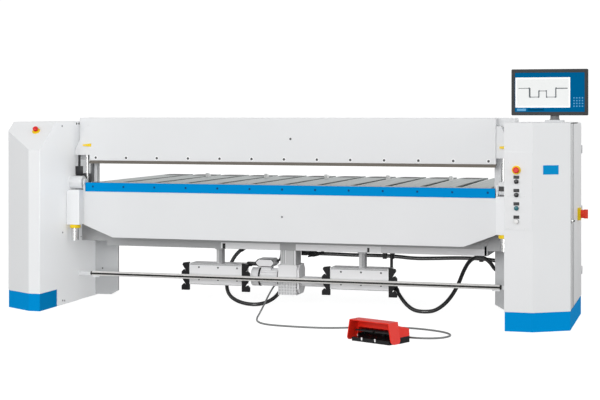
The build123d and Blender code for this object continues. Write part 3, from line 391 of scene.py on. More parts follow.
def piece(name, form, material, body):
    """Turns a form into a piece that rides on a body, smooth except over its sharp edges."""
    mesh = bpy.data.meshes.new(name)
    bmesh.ops.recalc_face_normals(form, faces=form.faces)
    form.to_mesh(mesh)
    form.free()
    for face in mesh.polygons:
        face.use_smooth = True
    mesh.set_sharp_from_angle(angle=sharp_angle)
    made = bpy.data.objects.new(name, mesh)
    bpy.context.collection.objects.link(made)
    finishes = material if isinstance(material, (list, tuple)) else [material]
    for one in finishes:
        mesh.materials.append(one)
    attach(made, body)
    return made


def gland_form(form, point, direction, radius, nut, sleeve, bore):
    """A gland whose mouth is at a point: nut behind it, cap over it and the sleeve along the cord."""
    place = facing(point, direction)
    turned(form, place, [(0, -nut), (radius, -nut), (radius, -0.35 * nut), (0.92 * radius, -0.3 * nut)], 6)
    cap = [(0.9 * radius, -0.4 * nut), (0.9 * radius, -0.05 * nut), (0.78 * radius, 0.18 * nut)]
    turned(form, place, cap + [(1.25 * bore, 0.26 * nut), (1.25 * bore, -0.4 * nut)])
    rings = 5
    taper = [(1.25 * bore, 0)]
    for ring in range(rings):
        low = sleeve * ring / rings
        wide = bore * (1.45 - 0.35 * ring / rings)
        taper += [(wide, low + 0.1 * sleeve / rings), (wide, low + 0.7 * sleeve / rings)]
        taper += [(wide - 0.0012, low + 0.75 * sleeve / rings)]
    turned(form, place, taper + [(1.02 * bore, sleeve), (0, sleeve)], 16)


gland_plastic = rubber("gland_plastic", (0.012, 0.012, 0.013), 0.42)
gland_nut = 0.022
glands = bmesh.new()
cable_bore = cable_diameter / 2
hose_bore = conduit_diameter / 2
for points, bore, sleeve, radius in (
    (cable_points, cable_bore, 0.040, 0.017),
    (left_conduit_points, hose_bore, 0.024, 0.021),
    (list(reversed(left_conduit_points)), hose_bore, 0.030, 0.021),
    (right_conduit_points, hose_bore, 0.024, 0.021),
):
    start = at(*points[0])
    gland_form(glands, start, at(*points[1]) - start, radius, gland_nut, sleeve, bore)
piece("cord_glands", glands, gland_plastic, "machine_frame")
switch_gland = bmesh.new()
start = at(*cable_points[-1])
gland_form(switch_gland, start, at(*cable_points[-2]) - start, 0.0125, 0.018, 0.034, cable_bore)
piece("foot_switch_gland", switch_gland, gland_plastic, "machine_frame")


# Conduit holders: black moulded saddles and a junction block, screwed to the table beam's underside,
# with two short rigid wiring bends from the block up into the beam.
def bent_rod(form, points, radius, sides=10):
    """Adds a round rod along straight runs between points of the machine."""
    route = [at(*point) for point in points]
    rings = []
    for step, point in enumerate(route):
        before = route[max(step - 1, 0)]
        after = route[min(step + 1, len(route) - 1)]
        place = facing(point, after - before)
        rings.append([form.verts.new(place @ on_circle(radius, side, sides)) for side in range(sides)])
    form.faces.new(rings[0])
    form.faces.new(rings[-1])
    for lower, upper in zip(rings, rings[1:]):
        for side in range(sides):
            after = (side + 1) % sides
            form.faces.new([lower[side], lower[after], upper[after], upper[side]])


def coat_node(name, material, softened=0.0):
    """Gives a solid of the frame its finish, and a fine radius on its sharp edges."""
    node = nodes[name]
    for row in node.material_slots:
        row.material = material
    if softened:
        weld = node.modifiers.new("joined", "WELD")
        weld.merge_threshold = 0.00002
        bevel = node.modifiers.new("edge_radius", "BEVEL")
        bevel.width = softened
        bevel.segments = 2
        bevel.limit_method = "ANGLE"
        bevel.angle_limit = sharp_angle
        bevel.harden_normals = True


coat_node("conduit_holders", gland_plastic)
coat_node("cable_glands", gland_plastic)
beam_underside = 0.432
wiring_bends = bmesh.new()
bend_steps = 8
for offset, rise, reach in ((0.0, 0.070, 0.075), (0.024, 0.052, 0.090)):
    bend = []
    for step in range(bend_steps + 1):
        angle = math.pi / 2 * step / bend_steps
        x = 0.102 + reach * math.sin(angle)
        bend.append((x, 0.515 + offset, beam_underside - rise * math.cos(angle)))
    bent_rod(wiring_bends, bend, 0.006)
piece("wiring_bends", wiring_bends, gland_plastic, "machine_frame")


# Blue plinths: sheet-steel boxes under both housings, set back a little under the white sheet.
# Folded and welded, powder-coated in the machine's blue.
def darker(colour, share):
    """A colour with each channel times a share."""
    return tuple(channel * share for channel in colour)


def powder_coat(name, colour, roughness=0.42, shine=0.3):
    """A baked powder coat: even colour, fine orange peel, a little duller in patches."""
    material, tree, shader, place = new_finish(name)
    patches = grain(tree, place, 2.2, detail=2)
    tone = shades(tree, patches, [(0.3, darker(colour, 0.98)), (0.7, colour)])
    tree.links.new(tone, shader.inputs["Base Color"])
    tree.links.new(span(tree, patches, roughness - 0.04, roughness + 0.06), shader.inputs["Roughness"])
    shader.inputs["Specular IOR Level"].default_value = shine
    roughen(tree, shader, grain(tree, place, 420, detail=1), 0.00004)
    return material


blue_coat = powder_coat("blue_powder_coat", (0.0, 0.272, 0.66), 0.5, 0.01)
coat_node("plinths", blue_coat, 0.0015)

# White housings and stands: folded sheet covers over welded side frames, closed by the cabinet's panels.
# Powder-coated white, with a small bend radius on every edge.
white_coat = powder_coat("white_powder_coat", (0.78, 0.79, 0.80))
for name in (
    "left_stand", "right_stand", "left_housing", "cabinet_front", "cabinet_rear_wall", "cabinet_roof",
    "cabinet_door", "inner_panels",
):
    coat_node(name, white_coat, 0.0012)


# Screws of the inner panels: socket-head screws along the front edge of both stands' inner sheets,
# with the dark punched holes near the top, and a fold across each sheet behind the folding beam.
def prism(form, outline, place, depth, finish=0, soften=0.0):
    """Adds a flat outline of (x, y) points raised by a depth along the z axis of a place."""
    low = [form.verts.new(place @ Vector((x, y, 0))) for x, y in outline]
    high = [form.verts.new(place @ Vector((x, y, depth))) for x, y in outline]
    made = [form.faces.new(high), form.faces.new(list(reversed(low)))]
    for step in range(len(outline)):
        after = (step + 1) % len(outline)
        made.append(form.faces.new([low[step], low[after], high[after], high[step]]))
    for face in made:
        face.material_index = finish
    if soften:
        edges = {edge for face in made for edge in face.edges}
        bmesh.ops.bevel(form, geom=list(edges), offset=soften, segments=2, affect="EDGES", profile=0.5)


def box_form(form, low, high, finish=0, soften=0.0):
    """Adds a box between two corners of the machine, with its edges softened."""
    a = at(*low)
    b = at(*high)
    outline = [(a.x, a.y), (b.x, a.y), (b.x, b.y), (a.x, b.y)]
    prism(form, outline, Matrix.Translation((0, 0, a.z)), b.z - a.z, finish, soften)


def cap_screw(form, point, direction, radius, head):
    """Adds a socket-head screw: a low round head with a dark six-sided socket."""
    place = facing(at(*point), direction)
    turned(form, place, [(radius, 0), (radius, 0.7 * head), (0.9 * radius, head), (0, head)], 16)
    dip = head + 0.0003
    turned(form, place, [(0.55 * radius, head - 0.0002), (0.55 * radius, dip), (0, dip)], 6, 1)


def disc(form, point, direction, radius, rise, sides=16, finish=0):
    """Adds a thin round disc that faces in a direction."""
    turned(form, facing(at(*point), direction), [(radius, 0), (radius, rise), (0, rise)], sides, finish)


def plain_paint(name, colour, roughness=0.5, shine=0.3):
    """A matt paint or plastic in one colour, with a faint mottle."""
    material, tree, shader, place = new_finish(name)
    mottle = grain(tree, place, 35, detail=2)
    tone = shades(tree, mottle, [(0.3, darker(colour, 0.93)), (0.7, colour)])
    tree.links.new(tone, shader.inputs["Base Color"])
    tree.links.new(span(tree, mottle, roughness - 0.05, roughness + 0.05), shader.inputs["Roughness"])
    shader.inputs["Specular IOR Level"].default_value = shine
    return material


stand_face = 1.7085
socket_black = plain_paint("socket_black", (0.012, 0.012, 0.013))
screw_grey = plain_paint("screw_grey", (0.42, 0.43, 0.44), 0.35, 0.3)
shade_grey = plain_paint("shade_grey", (0.20, 0.205, 0.21))
screw_places = (
    (-0.164, 1.366), (-0.156, 0.553), (-0.156, 0.034), (-0.121, 0.029), (0.250, 1.366), (0.430, 0.553),
)
mark_rise = 0.0012
panel_screws = bmesh.new()
for side in (-1, 1):
    inward = (-side, 0, 0)
    for y, z in screw_places:
        cap_screw(panel_screws, (side * stand_face, y, z), inward, 0.0075, 0.004)
    for y in (0.093, 0.135):
        disc(panel_screws, (side * stand_face, y, 1.3825), inward, 0.009, mark_rise, 16, 1)
piece("inner_panel_screws", panel_screws, [screw_grey, socket_black], "machine_frame")
panel_marks = bmesh.new()
for side in (-1, 1):
    near = side * stand_face
    off = near - side * mark_rise
    low_x, high_x = sorted((near, off))
    box_form(panel_marks, (low_x, 0.172, 1.3785), (high_x, 0.218, 1.3850))
    for outline in (
        [(0.262, 1.394), (0.272, 1.394), (0.304, 1.339), (0.294, 1.339)],
        [(0.162, 0.492), (0.162, 0.496), (0.480, 0.4705), (0.480, 0.4665)],
    ):
        place = Matrix(((0, 0, 1, 0), (1, 0, 0, 0), (0, 1, 0, 0), (0, 0, 0, 1)))
        place.translation = at(low_x, 0, 0)
        prism(panel_marks, outline, place, high_x - low_x)
piece("inner_panel_slots", panel_marks, shade_grey, "machine_frame")


# Stop buttons: mushroom buttons on the left housing's sloping face and at the top of the control panel.
# Red moulded heads on a yellow ring plate that is clipped under the head.
red_plastic = powder_coat("red_plastic", (0.72, 0.006, 0.004), 0.35, 0.4)
yellow_plastic = powder_coat("yellow_plastic", (0.88, 0.62, 0.004), 0.4, 0.3)
coat_node("left_stop_button", red_plastic)
coat_node("panel_stop_button", red_plastic)
button_rings = bmesh.new()
panel_button_low, panel_button_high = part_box("panel_stop_button")
slope_direction = (0.05, -0.8, 1)
left_button_foot = at(-1.823, -0.365, 1.3277)
panel_button_foot = Vector((
    (panel_button_low[0] + panel_button_high[0]) / 2, panel_button_high[1],
    (panel_button_low[2] + panel_button_high[2]) / 2,
))
ring_plate = 0.030
ring_rise = 0.0085
for foot, direction in ((left_button_foot, slope_direction), (panel_button_foot, (0, -1, 0))):
    ring_profile = [(ring_plate, 0), (ring_plate, 0.7 * ring_rise), (0.94 * ring_plate, ring_rise)]
    turned(button_rings, facing(foot, direction), ring_profile + [(0.012, ring_rise)], 40)
piece("stop_button_rings", button_rings, yellow_plastic, "machine_frame")


# Clamping beam: a folded white cover over a welded beam, screwed on along its lower edge.
# Countersunk screws sit at even distances, with one plugged hole in the middle of its face.
coat_node("clamping_beam", white_coat, 0.002)
cover_face = 0.040
cover_screws = bmesh.new()
screw_count = 13
screw_reach = 1.522
screw_height = 1.1205
screw_hole = 0.0095
for step in range(screw_count):
    x = -screw_reach + 2 * screw_reach * step / (screw_count - 1)
    place = facing(at(x, cover_face, screw_height), (0, -1, 0))
    turned(cover_screws, place, [(0.0165, 0), (0.0165, 0.0006), (screw_hole, 0.0009)], 20, 0)
    turned(cover_screws, place, [(screw_hole, 0.0009), (0.0092, 0.0004), (0, 0.0004)], 20, 1)
disc(cover_screws, (0.050, cover_face, 1.272), (0, -1, 0), 0.0085, 0.0008, 20, 1)
# Each screw sits in a pale ring: its countersink, painted lighter than the cover as a highlight.
pale_and_highlight_white = plain_paint("pale_and_highlight_paint", (0.93, 0.935, 0.94))
dark_grey = plain_paint("dark_grey", (0.075, 0.077, 0.080))
piece("cover_screws", cover_screws, [pale_and_highlight_white, dark_grey], "clamping_beam")


# Clamping blade: a ground steel wedge, a little brown from oil, that presses the sheet on the table.
# It is bolted to the beam's underside along its whole length.
def ground_steel(name, colour, roughness, along=(0.02, 1, 1)):
    """Ground or drawn steel, with fine lines along its length."""
    material, tree, shader, place = new_finish(name)
    lines = grain(tree, place, 500, along, 3)
    tone = shades(tree, lines, [(0.3, darker(colour, 0.8)), (0.7, colour)])
    tree.links.new(tone, shader.inputs["Base Color"])
    shader.inputs["Metallic"].default_value = 1.0
    tree.links.new(span(tree, lines, roughness - 0.08, roughness + 0.1), shader.inputs["Roughness"])
    roughen(tree, shader, lines, 0.00004)
    return material


coat_node("clamping_blade", ground_steel("blade_steel", (0.27, 0.245, 0.215), 0.38), 0.001)

# End brackets of the clamping beam: white plates with a slanting outer edge, welded to the beam's ends,
# each with a yellow strip near its foot. Ground steel rods below them run in black guide blocks, and
# black covers with a ruled grey scale close the guide at the left end.
coat_node("end_brackets", white_coat, 0.002)
bright_steel = ground_steel("bright_steel", (0.86, 0.86, 0.85), 0.2, (1, 1, 0.02))
coat_node("guide_rods", bright_steel)
guide_black = plain_paint("guide_black", (0.030, 0.030, 0.032), 0.4)
coat_node("guide_blocks", guide_black, 0.001)
bracket_front = 0.050
yellow_strips = bmesh.new()
for strip in (
    [(-1.560, 1.204), (-1.632, 1.211), (-1.632, 1.222), (-1.560, 1.230)],
    [(1.600, 1.212), (1.634, 1.209), (1.634, 1.229), (1.600, 1.226)],
):
    low = [yellow_strips.verts.new(at(x, bracket_front, z)) for x, z in strip]
    high = [yellow_strips.verts.new(at(x, cover_face - 0.001, z)) for x, z in strip]
    yellow_strips.faces.new(high)
    yellow_strips.faces.new(list(reversed(low)))
    for step in range(4):
        after = (step + 1) % 4
        yellow_strips.faces.new([low[step], low[after], high[after], high[step]])
piece("bracket_strips", yellow_strips, yellow_plastic, "clamping_beam")


def both_ends(form, low, high, soften=0.0):
    """Adds a box near the right end of the machine and its mirror image at the left end."""
    box_form(form, low, high, 0, soften)
    box_form(form, (-high[0], low[1], low[2]), (-low[0], high[1], high[2]), 0, soften)


guide_covers = bmesh.new()
box_form(guide_covers, (-1.650, 0.070, 0.876), (-1.621, 0.079, 0.998), 0, 0.001)
box_form(guide_covers, (-1.594, 0.070, 0.845), (-1.579, 0.079, 0.998), 0, 0.001)
both_ends(guide_covers, (1.594, 0.072, 0.845), (1.606, 0.079, 0.870))
box_form(guide_covers, (1.608, -0.0540, 0.913), (1.655, -0.0470, 0.947))
piece("guide_covers", guide_covers, guide_black, "machine_frame")
# Black blocks hung from the left bracket paint the shade under it.
bracket_shade_form = bmesh.new()
box_form(bracket_shade_form, (-1.700, 0.053, 0.987), (-1.641, 0.068, 1.053), 0, 0.002)
box_form(bracket_shade_form, (-1.680, 0.060, 1.050), (-1.662, 0.067, 1.145))
piece("bracket_shade_blocks", bracket_shade_form, guide_black, "clamping_beam")
scale = bmesh.new()
box_form(scale, (-1.592, 0.098, 0.930), (-1.5765, 0.124, 1.142))
rule_pitch = 0.013
for row in range(11):
    z = 0.936 + row * rule_pitch
    box_form(scale, (-1.5925, 0.0965, z), (-1.5760, 0.1255, z + 0.006))
piece("bracket_scales", scale, shade_grey, "clamping_beam")

# Folding beam: a welded white box that carries the blue folding rail along its top edge.
# The rail is bolted on with countersunk screws at even distances; one plugged hole is in the plate below.
coat_node("folding_beam", white_coat, 0.0015)
coat_node("folding_rail", blue_coat, 0.001)
rail_face = -0.024
rail_screws = bmesh.new()
rail_reach = 1.521
rail_middle = 0.900
rail_hole = 0.0080
for step in range(screw_count):
    x = 0.005 - rail_reach + 2 * rail_reach * step / (screw_count - 1)
    place = facing(at(x, rail_face, rail_middle), (0, -1, 0))
    turned(rail_screws, place, [(0.0100, 0), (0.0100, 0.0005), (rail_hole, 0.0008)], 20, 0)
    turned(rail_screws, place, [(rail_hole, 0.0008), (0.0075, 0.0003), (0, 0.0003)], 20, 1)
blue_shade = powder_coat("blue_socket", (0.001, 0.060, 0.20), 0.5, 0.1)
piece("rail_screws", rail_screws, [blue_coat, blue_shade], "folding_beam")
plate_hole = bmesh.new()
disc(plate_hole, (0.003, -0.020, 0.697), (0, -1, 0), 0.0075, 0.0008, 20)
piece("beam_plug", plate_hole, shade_grey, "folding_beam")

# End boxes of the folding beam: white covers over its fine setting, screwed to the beam's end plates.
# Below each one are a moulded yellow setting ring and a bright steel spindle, beside the white bearing
# that the folding beam turns in.
coat_node("end_boxes", powder_coat("end_box_coat", (0.86, 0.87, 0.88)), 0.0015)
coat_node("pivot_bearings", white_coat, 0.001)
coat_node("setting_spindles", bright_steel)
ring_radius = 0.0408
setting_rings = bmesh.new()
for side in (-1, 1):
    place = facing(at(side * 1.6475, -0.060, 0.5835), (0, 0, 1))
    turned(setting_rings, place, [(ring_radius, 0), (ring_radius, 0.0262)], 40, 0)
    turned(setting_rings, place, [(0.032, -0.003), (0.032, 0.0005), (0.0385, 0.0005)], 40, 1)
piece("setting_rings", setting_rings, [yellow_plastic, shade_grey], "folding_beam")

# Foot bar: a chromed steel bar between the stands, painted bright, with a dark strip along its front as a
# painted reflection.
# Its ends are bevelled and dark, and it sits on two small white brackets from the stands.
bar_y = 0.132
bar_z = 0.215
bar_radius = 0.0185
bar_end = 1.604
bar_slant = 0.014
bar_sides = 32
# These sides carry the painted reflection of the chrome.
reflection_sides = range(14, 18)
bar_bright = plain_paint("bar_bright", (0.84, 0.83, 0.81), 0.3, 0.5)
bar_reflection_dark = plain_paint("bar_painted_reflection", (0.018, 0.017, 0.015), 0.4)
foot_bar = bmesh.new()
stations = (-bar_end, -bar_end + bar_slant, bar_end - bar_slant, bar_end)
rings = []
for station, x in enumerate(stations):
    radius = bar_radius if station in (1, 2) else 0.72 * bar_radius
    ring = []
    for side in range(bar_sides):
        point = on_circle(radius, side, bar_sides)
        ring.append(foot_bar.verts.new(at(x, bar_y + point.x, bar_z + point.y)))
    rings.append(ring)
for station in range(3):
    for side in range(bar_sides):
        after = (side + 1) % bar_sides
        near = rings[station]
        far = rings[station + 1]
        face = foot_bar.faces.new([near[side], near[after], far[after], far[side]])
        dark = side in reflection_sides or station != 1
        face.material_index = 1 if dark else 0
foot_bar.faces.new(rings[0])
foot_bar.faces.new(list(reversed(rings[3])))
bar_brackets = bmesh.new()
both_ends(bar_brackets, (1.534, 0.128, 0.186), (1.5900, 0.144, 0.200))
both_ends(bar_brackets, (1.534, 0.138, 0.196), (1.7085, 0.144, 0.224), 0.001)
piece("bar_brackets", bar_brackets, white_coat, "machine_frame")
bar = piece("chrome_foot_bar", foot_bar, [bar_bright, bar_reflection_dark], "machine_frame")
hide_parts("foot_bar")

# Table: ground steel jaw and zinc-plated slats over a deep welded beam, with plate legs at its ends.
# The slats are screwed down at both ends and keep even gaps for the back gauge's fingers; along their edges
# a thin white strip is a painted highlight and a thin dark strip painted shade, and a dark strip lies near
# each slat's rear end.
def sheet_steel(name):
    """Zinc-plated sheet: pale, faintly green, with cloudy streaks along its length."""
    material, tree, shader, place = new_finish(name)
    streaks = grain(tree, place, 26, (1, 0.12, 1), 5)
    tone = shades(tree, streaks, [
        (0.34, (0.125, 0.165, 0.16)), (0.5, (0.20, 0.245, 0.24)), (0.66, (0.32, 0.365, 0.355)),
    ])
    tree.links.new(tone, shader.inputs["Base Color"])
    shader.inputs["Metallic"].default_value = 0.6
    shader.inputs["Specular IOR Level"].default_value = 0.2
    tree.links.new(span(tree, streaks, 0.22, 0.42), shader.inputs["Roughness"])
    roughen(tree, shader, grain(tree, place, 300, (1, 0.1, 1)), 0.00004)
    return material


table_sheet = sheet_steel("zinc_sheet")
coat_node("table_slats", table_sheet, 0.0012)
coat_node("cabinet_inner_wall", table_sheet, 0.001)
coat_node("table_jaw", ground_steel("jaw_steel", (0.26, 0.27, 0.27), 0.35))
# The table beam is painted grey for the shade it stands in under the folding beam.
coat_node("table_beam", powder_coat("beam_shade_grey", (0.42, 0.425, 0.43)), 0.0015)
coat_node("table_rear_frame", white_coat, 0.0015)
coat_node("gauge_beam", plain_paint("gauge_bright", (0.92, 0.93, 0.92), 0.3, 0.5), 0.001)
# The legs are painted grey for the shade they stand in behind the stands.
coat_node("legs", powder_coat("leg_shade_grey", (0.56, 0.57, 0.58)), 0.0015)
# Black blocks at the legs paint shadows: the gaps beside the legs' tops and the shadow below a foot-bar
# bracket.
leg_shadow_blocks = bmesh.new()
box_form(leg_shadow_blocks, (-1.573, 0.4285, 0.420), (-1.529, 0.440, 0.466), 0, 0.001)
box_form(leg_shadow_blocks, (-1.650, 0.437, 0.215), (-1.640, 0.440, 0.225))
box_form(leg_shadow_blocks, (1.471, 0.190, 0.4295), (1.4855, 0.200, 0.500))
piece("leg_shadow_blocks", leg_shadow_blocks, guide_black, "machine_frame")
slat_low, slat_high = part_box("table_slats")
slat_count = 12
slat_gap = 0.040
slat_width = (slat_high[0] - slat_low[0] - (slat_count - 1) * slat_gap) / slat_count
slat_top = slat_high[2] - bend_line.z
line_low = slat_top + 0.0001
line_high = slat_top + 0.0008
slat_front = 0.125
slat_back = 1.625
screw_inset = 0.05
slot_lines = bmesh.new()
slat_screws = bmesh.new()
for step in range(slat_count):
    left = slat_low[0] - bend_line.x + step * (slat_width + slat_gap)
    right = left + slat_width
    box_form(slot_lines, (left + 0.001, slat_front, line_low), (left + 0.013, slat_back, line_high), 0)
    box_form(slot_lines, (right - 0.011, slat_front, line_low), (right - 0.001, slat_back, line_high), 1)
    box_form(slot_lines, (left + 0.040, 1.390, line_low), (right - 0.040, 1.620, slat_top + 0.0009), 1)
    for x in (left + screw_inset, right - screw_inset):
        for y in (0.150, 1.590):
            cap_screw(slat_screws, (x, y, slat_top), (0, 0, 1), 0.008, 0.0012)
# White strips paint the edges' highlight, dark strips their shade.
edge_highlight_and_shade = [plain_paint("edge_highlight_white", (0.93, 0.94, 0.93)), dark_grey]
piece("slat_edges", slot_lines, edge_highlight_and_shade, "machine_frame")
piece("slat_screws", slat_screws, [screw_grey, socket_black], "machine_frame")

# Drives under the table beam: two white profile units with moulded black end caps, a cast gearbox and a
# motor, all on hanging posts. The housings are painted aluminium; thin dark strips along the units' grooves
# are painted shade, pale strips run down the units' ends, and screws with dark sockets hold the units'
# covers.
# Fields on the table beam's front: white and pale plates paint the beam lighter where more light reaches it.
beam_light_fields = bmesh.new()
for left, right, finish in ((-0.548, -0.078, 0), (0.047, 0.704, 0), (0.704, 1.470, 1)):
    box_form(beam_light_fields, (left, 0.1885, beam_underside), (right, 0.190, 0.478), finish)
beam_light_paints = [powder_coat("beam_lit_white", (0.86, 0.86, 0.87)), powder_coat("beam_half_lit_paint", (0.68, 0.68, 0.69))]
piece("beam_light_fields", beam_light_fields, beam_light_paints, "machine_frame")
silver = powder_coat("silver_housing", (0.82, 0.82, 0.83), 0.4)
groove_shade_paint = plain_paint("groove_shade_paint", (0.30, 0.305, 0.31))
coat_node("drive_units", silver, 0.001)
coat_node("drive_posts", powder_coat("post_paint", (0.56, 0.565, 0.57)), 0.001)
coat_node("gearbox", silver, 0.001)
coat_node("drive_motor", silver, 0.0008)
coat_node("wiring_riser", gland_plastic)
coat_node("unit_end_caps", rubber("end_cap_black", (0.010, 0.010, 0.011), 0.35, 0.15), 0.001)
unit_front = 0.200
unit_skin = unit_front + 0.0004
# Dark strips in the units' grooves paint the shade in them.
unit_groove_shade = bmesh.new()
unit_screws = bmesh.new()
unit_ends = bmesh.new()
for left, right, screws in (
    (-0.810, -0.383, (-0.732, -0.577, -0.423)),
    (0.311, 0.760, (0.395, 0.549, 0.701)),
):
    for z in (0.1495, 0.2985, 0.3045):
        box_form(unit_groove_shade, (left + 0.001, unit_front - 0.0006, z), (right - 0.001, unit_skin, z + 0.0035))
    for x in (left + 0.001, right - 0.009):
        box_form(unit_ends, (x, unit_front - 0.0012, 0.150), (x + 0.008, unit_skin, 0.308))
    for x in screws:
        for z in (0.281, 0.187):
            cap_screw(unit_screws, (x, unit_front, z), (0, -1, 0), 0.0075, 0.0015)
piece("unit_groove_shade", unit_groove_shade, groove_shade_paint, "machine_frame")
piece("unit_end_strips", unit_ends, pale_and_highlight_white, "machine_frame")
piece("unit_screws", unit_screws, [shade_grey, socket_black], "machine_frame")
# A grey plate behind the gearbox's ribs paints the shade between them.
rib_shade = bmesh.new()
box_form(rib_shade, (-0.0865, 0.1952, 0.0945), (0.0475, 0.1962, 0.2050))
rib_shade_grey = plain_paint("rib_shade_grey", (0.60, 0.605, 0.61))
piece("gearbox_rib_shade", rib_shade, rib_shade_grey, "machine_frame")
# Painted shade on the posts: dark lines down the middle post's grooves and dark bars beside the two outer
# posts' tops.
post_top = 0.430
post_skin = 0.2004
post_shade_form = bmesh.new()
for left, right, front, bottom in (
    (-0.0755, -0.0715, 0.1992, 0.322),
    (-0.0605, -0.0565, 0.1990, 0.330),
    (-0.0445, -0.0405, 0.1990, 0.330),
    (0.0260, 0.0300, 0.1990, 0.322),
):
    box_form(post_shade_form, (left, front, bottom), (right, post_skin, post_top))
for left in (-0.5815, 0.5455):
    box_form(post_shade_form, (left, 0.2392, 0.312), (left + 0.0225, 0.2402, post_top))
post_shade_grey = plain_paint("post_shade_grey", (0.36, 0.365, 0.37))
piece("post_shades", post_shade_form, post_shade_grey, "machine_frame")
# Bright strips paint highlights on the middle post.
post_highlight_form = bmesh.new()
box_form(post_highlight_form, (0.0310, 0.1988, 0.322), (0.0400, post_skin, post_top))
box_form(post_highlight_form, (-0.0390, 0.1990, 0.330), (-0.0340, post_skin, post_top))
piece("post_painted_highlight", post_highlight_form, silver, "machine_frame")

# Cable clamps and sensor leads: small black moulded blocks under the table beam that hold the hoses, and
# three thin rubber leads that bend from the clamps up into the beam.
clamps = bmesh.new()
box_form(clamps, (0.040, 0.360, 0.378), (0.088, 0.400, 0.431), 0, 0.003)
box_form(clamps, (0.062, 0.355, 0.395), (0.104, 0.385, 0.418), 0, 0.003)
# The two thin black bars on the beam's front stand for the posts' brackets, painted black for the shade they
# are in.
box_form(clamps, (-0.535, 0.186, beam_underside), (-0.513, 0.1895, 0.470))
box_form(clamps, (0.600, 0.186, beam_underside), (0.616, 0.1895, 0.466))
box_form(clamps, (0.700, 0.540, 0.352), (0.722, 0.582, 0.431), 0, 0.002)
piece("cable_clamps", clamps, gland_plastic, "machine_frame")
thin_leads = bmesh.new()
for step in range(3):
    reach = 0.040 + 0.016 * step
    y = 0.370 + 0.006 * step
    lead = []
    for turn_step in range(bend_steps + 1):
        angle = math.pi / 2 * turn_step / bend_steps
        lead.append((0.088 + reach * math.sin(angle), y, 0.440 - reach * math.cos(angle)))
    bent_rod(thin_leads, lead, 0.0050, 8)
piece("sensor_leads", thin_leads, gland_plastic, "machine_frame")

# Motor details: black rings at both ends of the fins, a black plug beside the terminal box, and a dark
# seal round its lid. Moulded plastic and rubber, clipped and screwed on.
motor_trim = bmesh.new()
motor_axis = (0.285, 0.215)
ring_bore = 0.0600
for x, radius, width in ((-0.262, 0.0705, 0.010), (-0.110, 0.0690, 0.006)):
    ring_profile = [(ring_bore, 0), (radius, 0), (radius, width), (ring_bore, width)]
    turned(motor_trim, facing(at(x, *motor_axis), (1, 0, 0)), ring_profile, 48)
box_form(motor_trim, (-0.366, 0.262, 0.299), (-0.279, 0.300, 0.326), 0, 0.003)
box_form(motor_trim, (-0.350, 0.268, 0.292), (-0.330, 0.294, 0.302), 0, 0.001)
lid = [
    (-0.2790, 0.3180), (-0.2590, 0.2980), (-0.1520, 0.2980), (-0.1320, 0.3180),
    (-0.1320, 0.3370), (-0.1520, 0.3570), (-0.2590, 0.3570), (-0.2790, 0.3370),
]
rim = 0.0045
lid_face = 0.2138
lid_middle = (-0.2055, 0.3275)
outer = [motor_trim.verts.new(at(x, lid_face, z)) for x, z in lid]
inner = []
for x, z in lid:
    inner_x = x + rim * (1 if x < lid_middle[0] else -1)
    inner_z = z + rim * (1 if z < lid_middle[1] else -1)
    inner.append(motor_trim.verts.new(at(inner_x, lid_face, inner_z)))
for step in range(8):
    after = (step + 1) % 8
    motor_trim.faces.new([outer[step], outer[after], inner[after], inner[step]])
piece("motor_trim", motor_trim, gland_plastic, "machine_frame")

# Control cabinet: white panels with a steel lock plate, white barrel hinges and a flat blue plate on its
# slanting front. The control panel is a separate white plate held by six screws; the main switch on the
# door is moulded in red and yellow.
coat_node("control_panel", white_coat, 0.0008)
coat_node("door_hinges", white_coat)
coat_node("door_lock", bright_steel)
coat_node("main_switch_base", yellow_plastic)
coat_node("main_switch_knob", powder_coat("switch_red", (0.86, 0.040, 0.008), 0.35, 0.4))
coat_node("push_buttons", guide_black)
coat_node("monitor_base", plain_paint("neck_grey", (0.66, 0.67, 0.68), 0.45))
door_marks = bmesh.new()
door_face = 2.143
for y, z in ((-0.240, 1.046), (-0.236, 0.968)):
    disc(door_marks, (door_face, y, z), (1, 0, 0), 0.0075, 0.001)
place = facing(at(door_face + 0.0062, -0.308, 0.735), (1, 0, 0))
turned(door_marks, place, [(0.006, -0.004), (0.006, 0.0085), (0, 0.0085)], 12)
piece("door_marks", door_marks, socket_black, "cabinet_door")
door_shade_form = bmesh.new()
# A grey strip down the door paints the shade along its fold.
box_form(door_shade_form, (door_face - 0.0004, -0.246, 0.140), (door_face + 0.0006, -0.224, 1.389))
piece("door_fold_shade", door_shade_form, shade_grey, "cabinet_door")
corner_lines = bmesh.new()
box_form(corner_lines, (2.1340, -0.3535, 0.131), (2.1362, -0.3440, 1.396))
piece("cabinet_corner_seam", corner_lines, shade_grey, "machine_frame")
chamfer_left = Vector((1.901, -0.505))
chamfer_right = Vector((2.135, -0.355))
chamfer_turn = math.atan2(chamfer_right.y - chamfer_left.y, chamfer_right.x - chamfer_left.x)
chamfer_foot = Matrix.Translation(at(chamfer_left.x, chamfer_left.y, 0))
chamfer_place = chamfer_foot @ Matrix.Rotation(chamfer_turn, 4, "Z")
chamfer_place = chamfer_place @ Matrix.Rotation(math.radians(90), 4, "X")
plate_outline = [(0.074, 1.052), (0.188, 1.052), (0.188, 1.114), (0.074, 1.114)]
chamfer_plate = bmesh.new()
prism(chamfer_plate, plate_outline, chamfer_place, 0.0012)
plate_blue = powder_coat("plate_blue", (0.0, 0.27, 0.60), 0.45, 0.05)
piece("blue_plate", chamfer_plate, plate_blue, "machine_frame")
panel_face = -0.508
panel_fixings = bmesh.new()
for x, z in ((1.739, 1.131), (1.846, 1.132), (1.735, 0.904), (1.847, 0.905), (1.737, 0.690), (1.847, 0.690)):
    cap_screw(panel_fixings, (x, panel_face, z), (0, -1, 0), 0.0055, 0.0012)
piece("panel_screws", panel_fixings, [pale_and_highlight_white, screw_grey], "machine_frame")

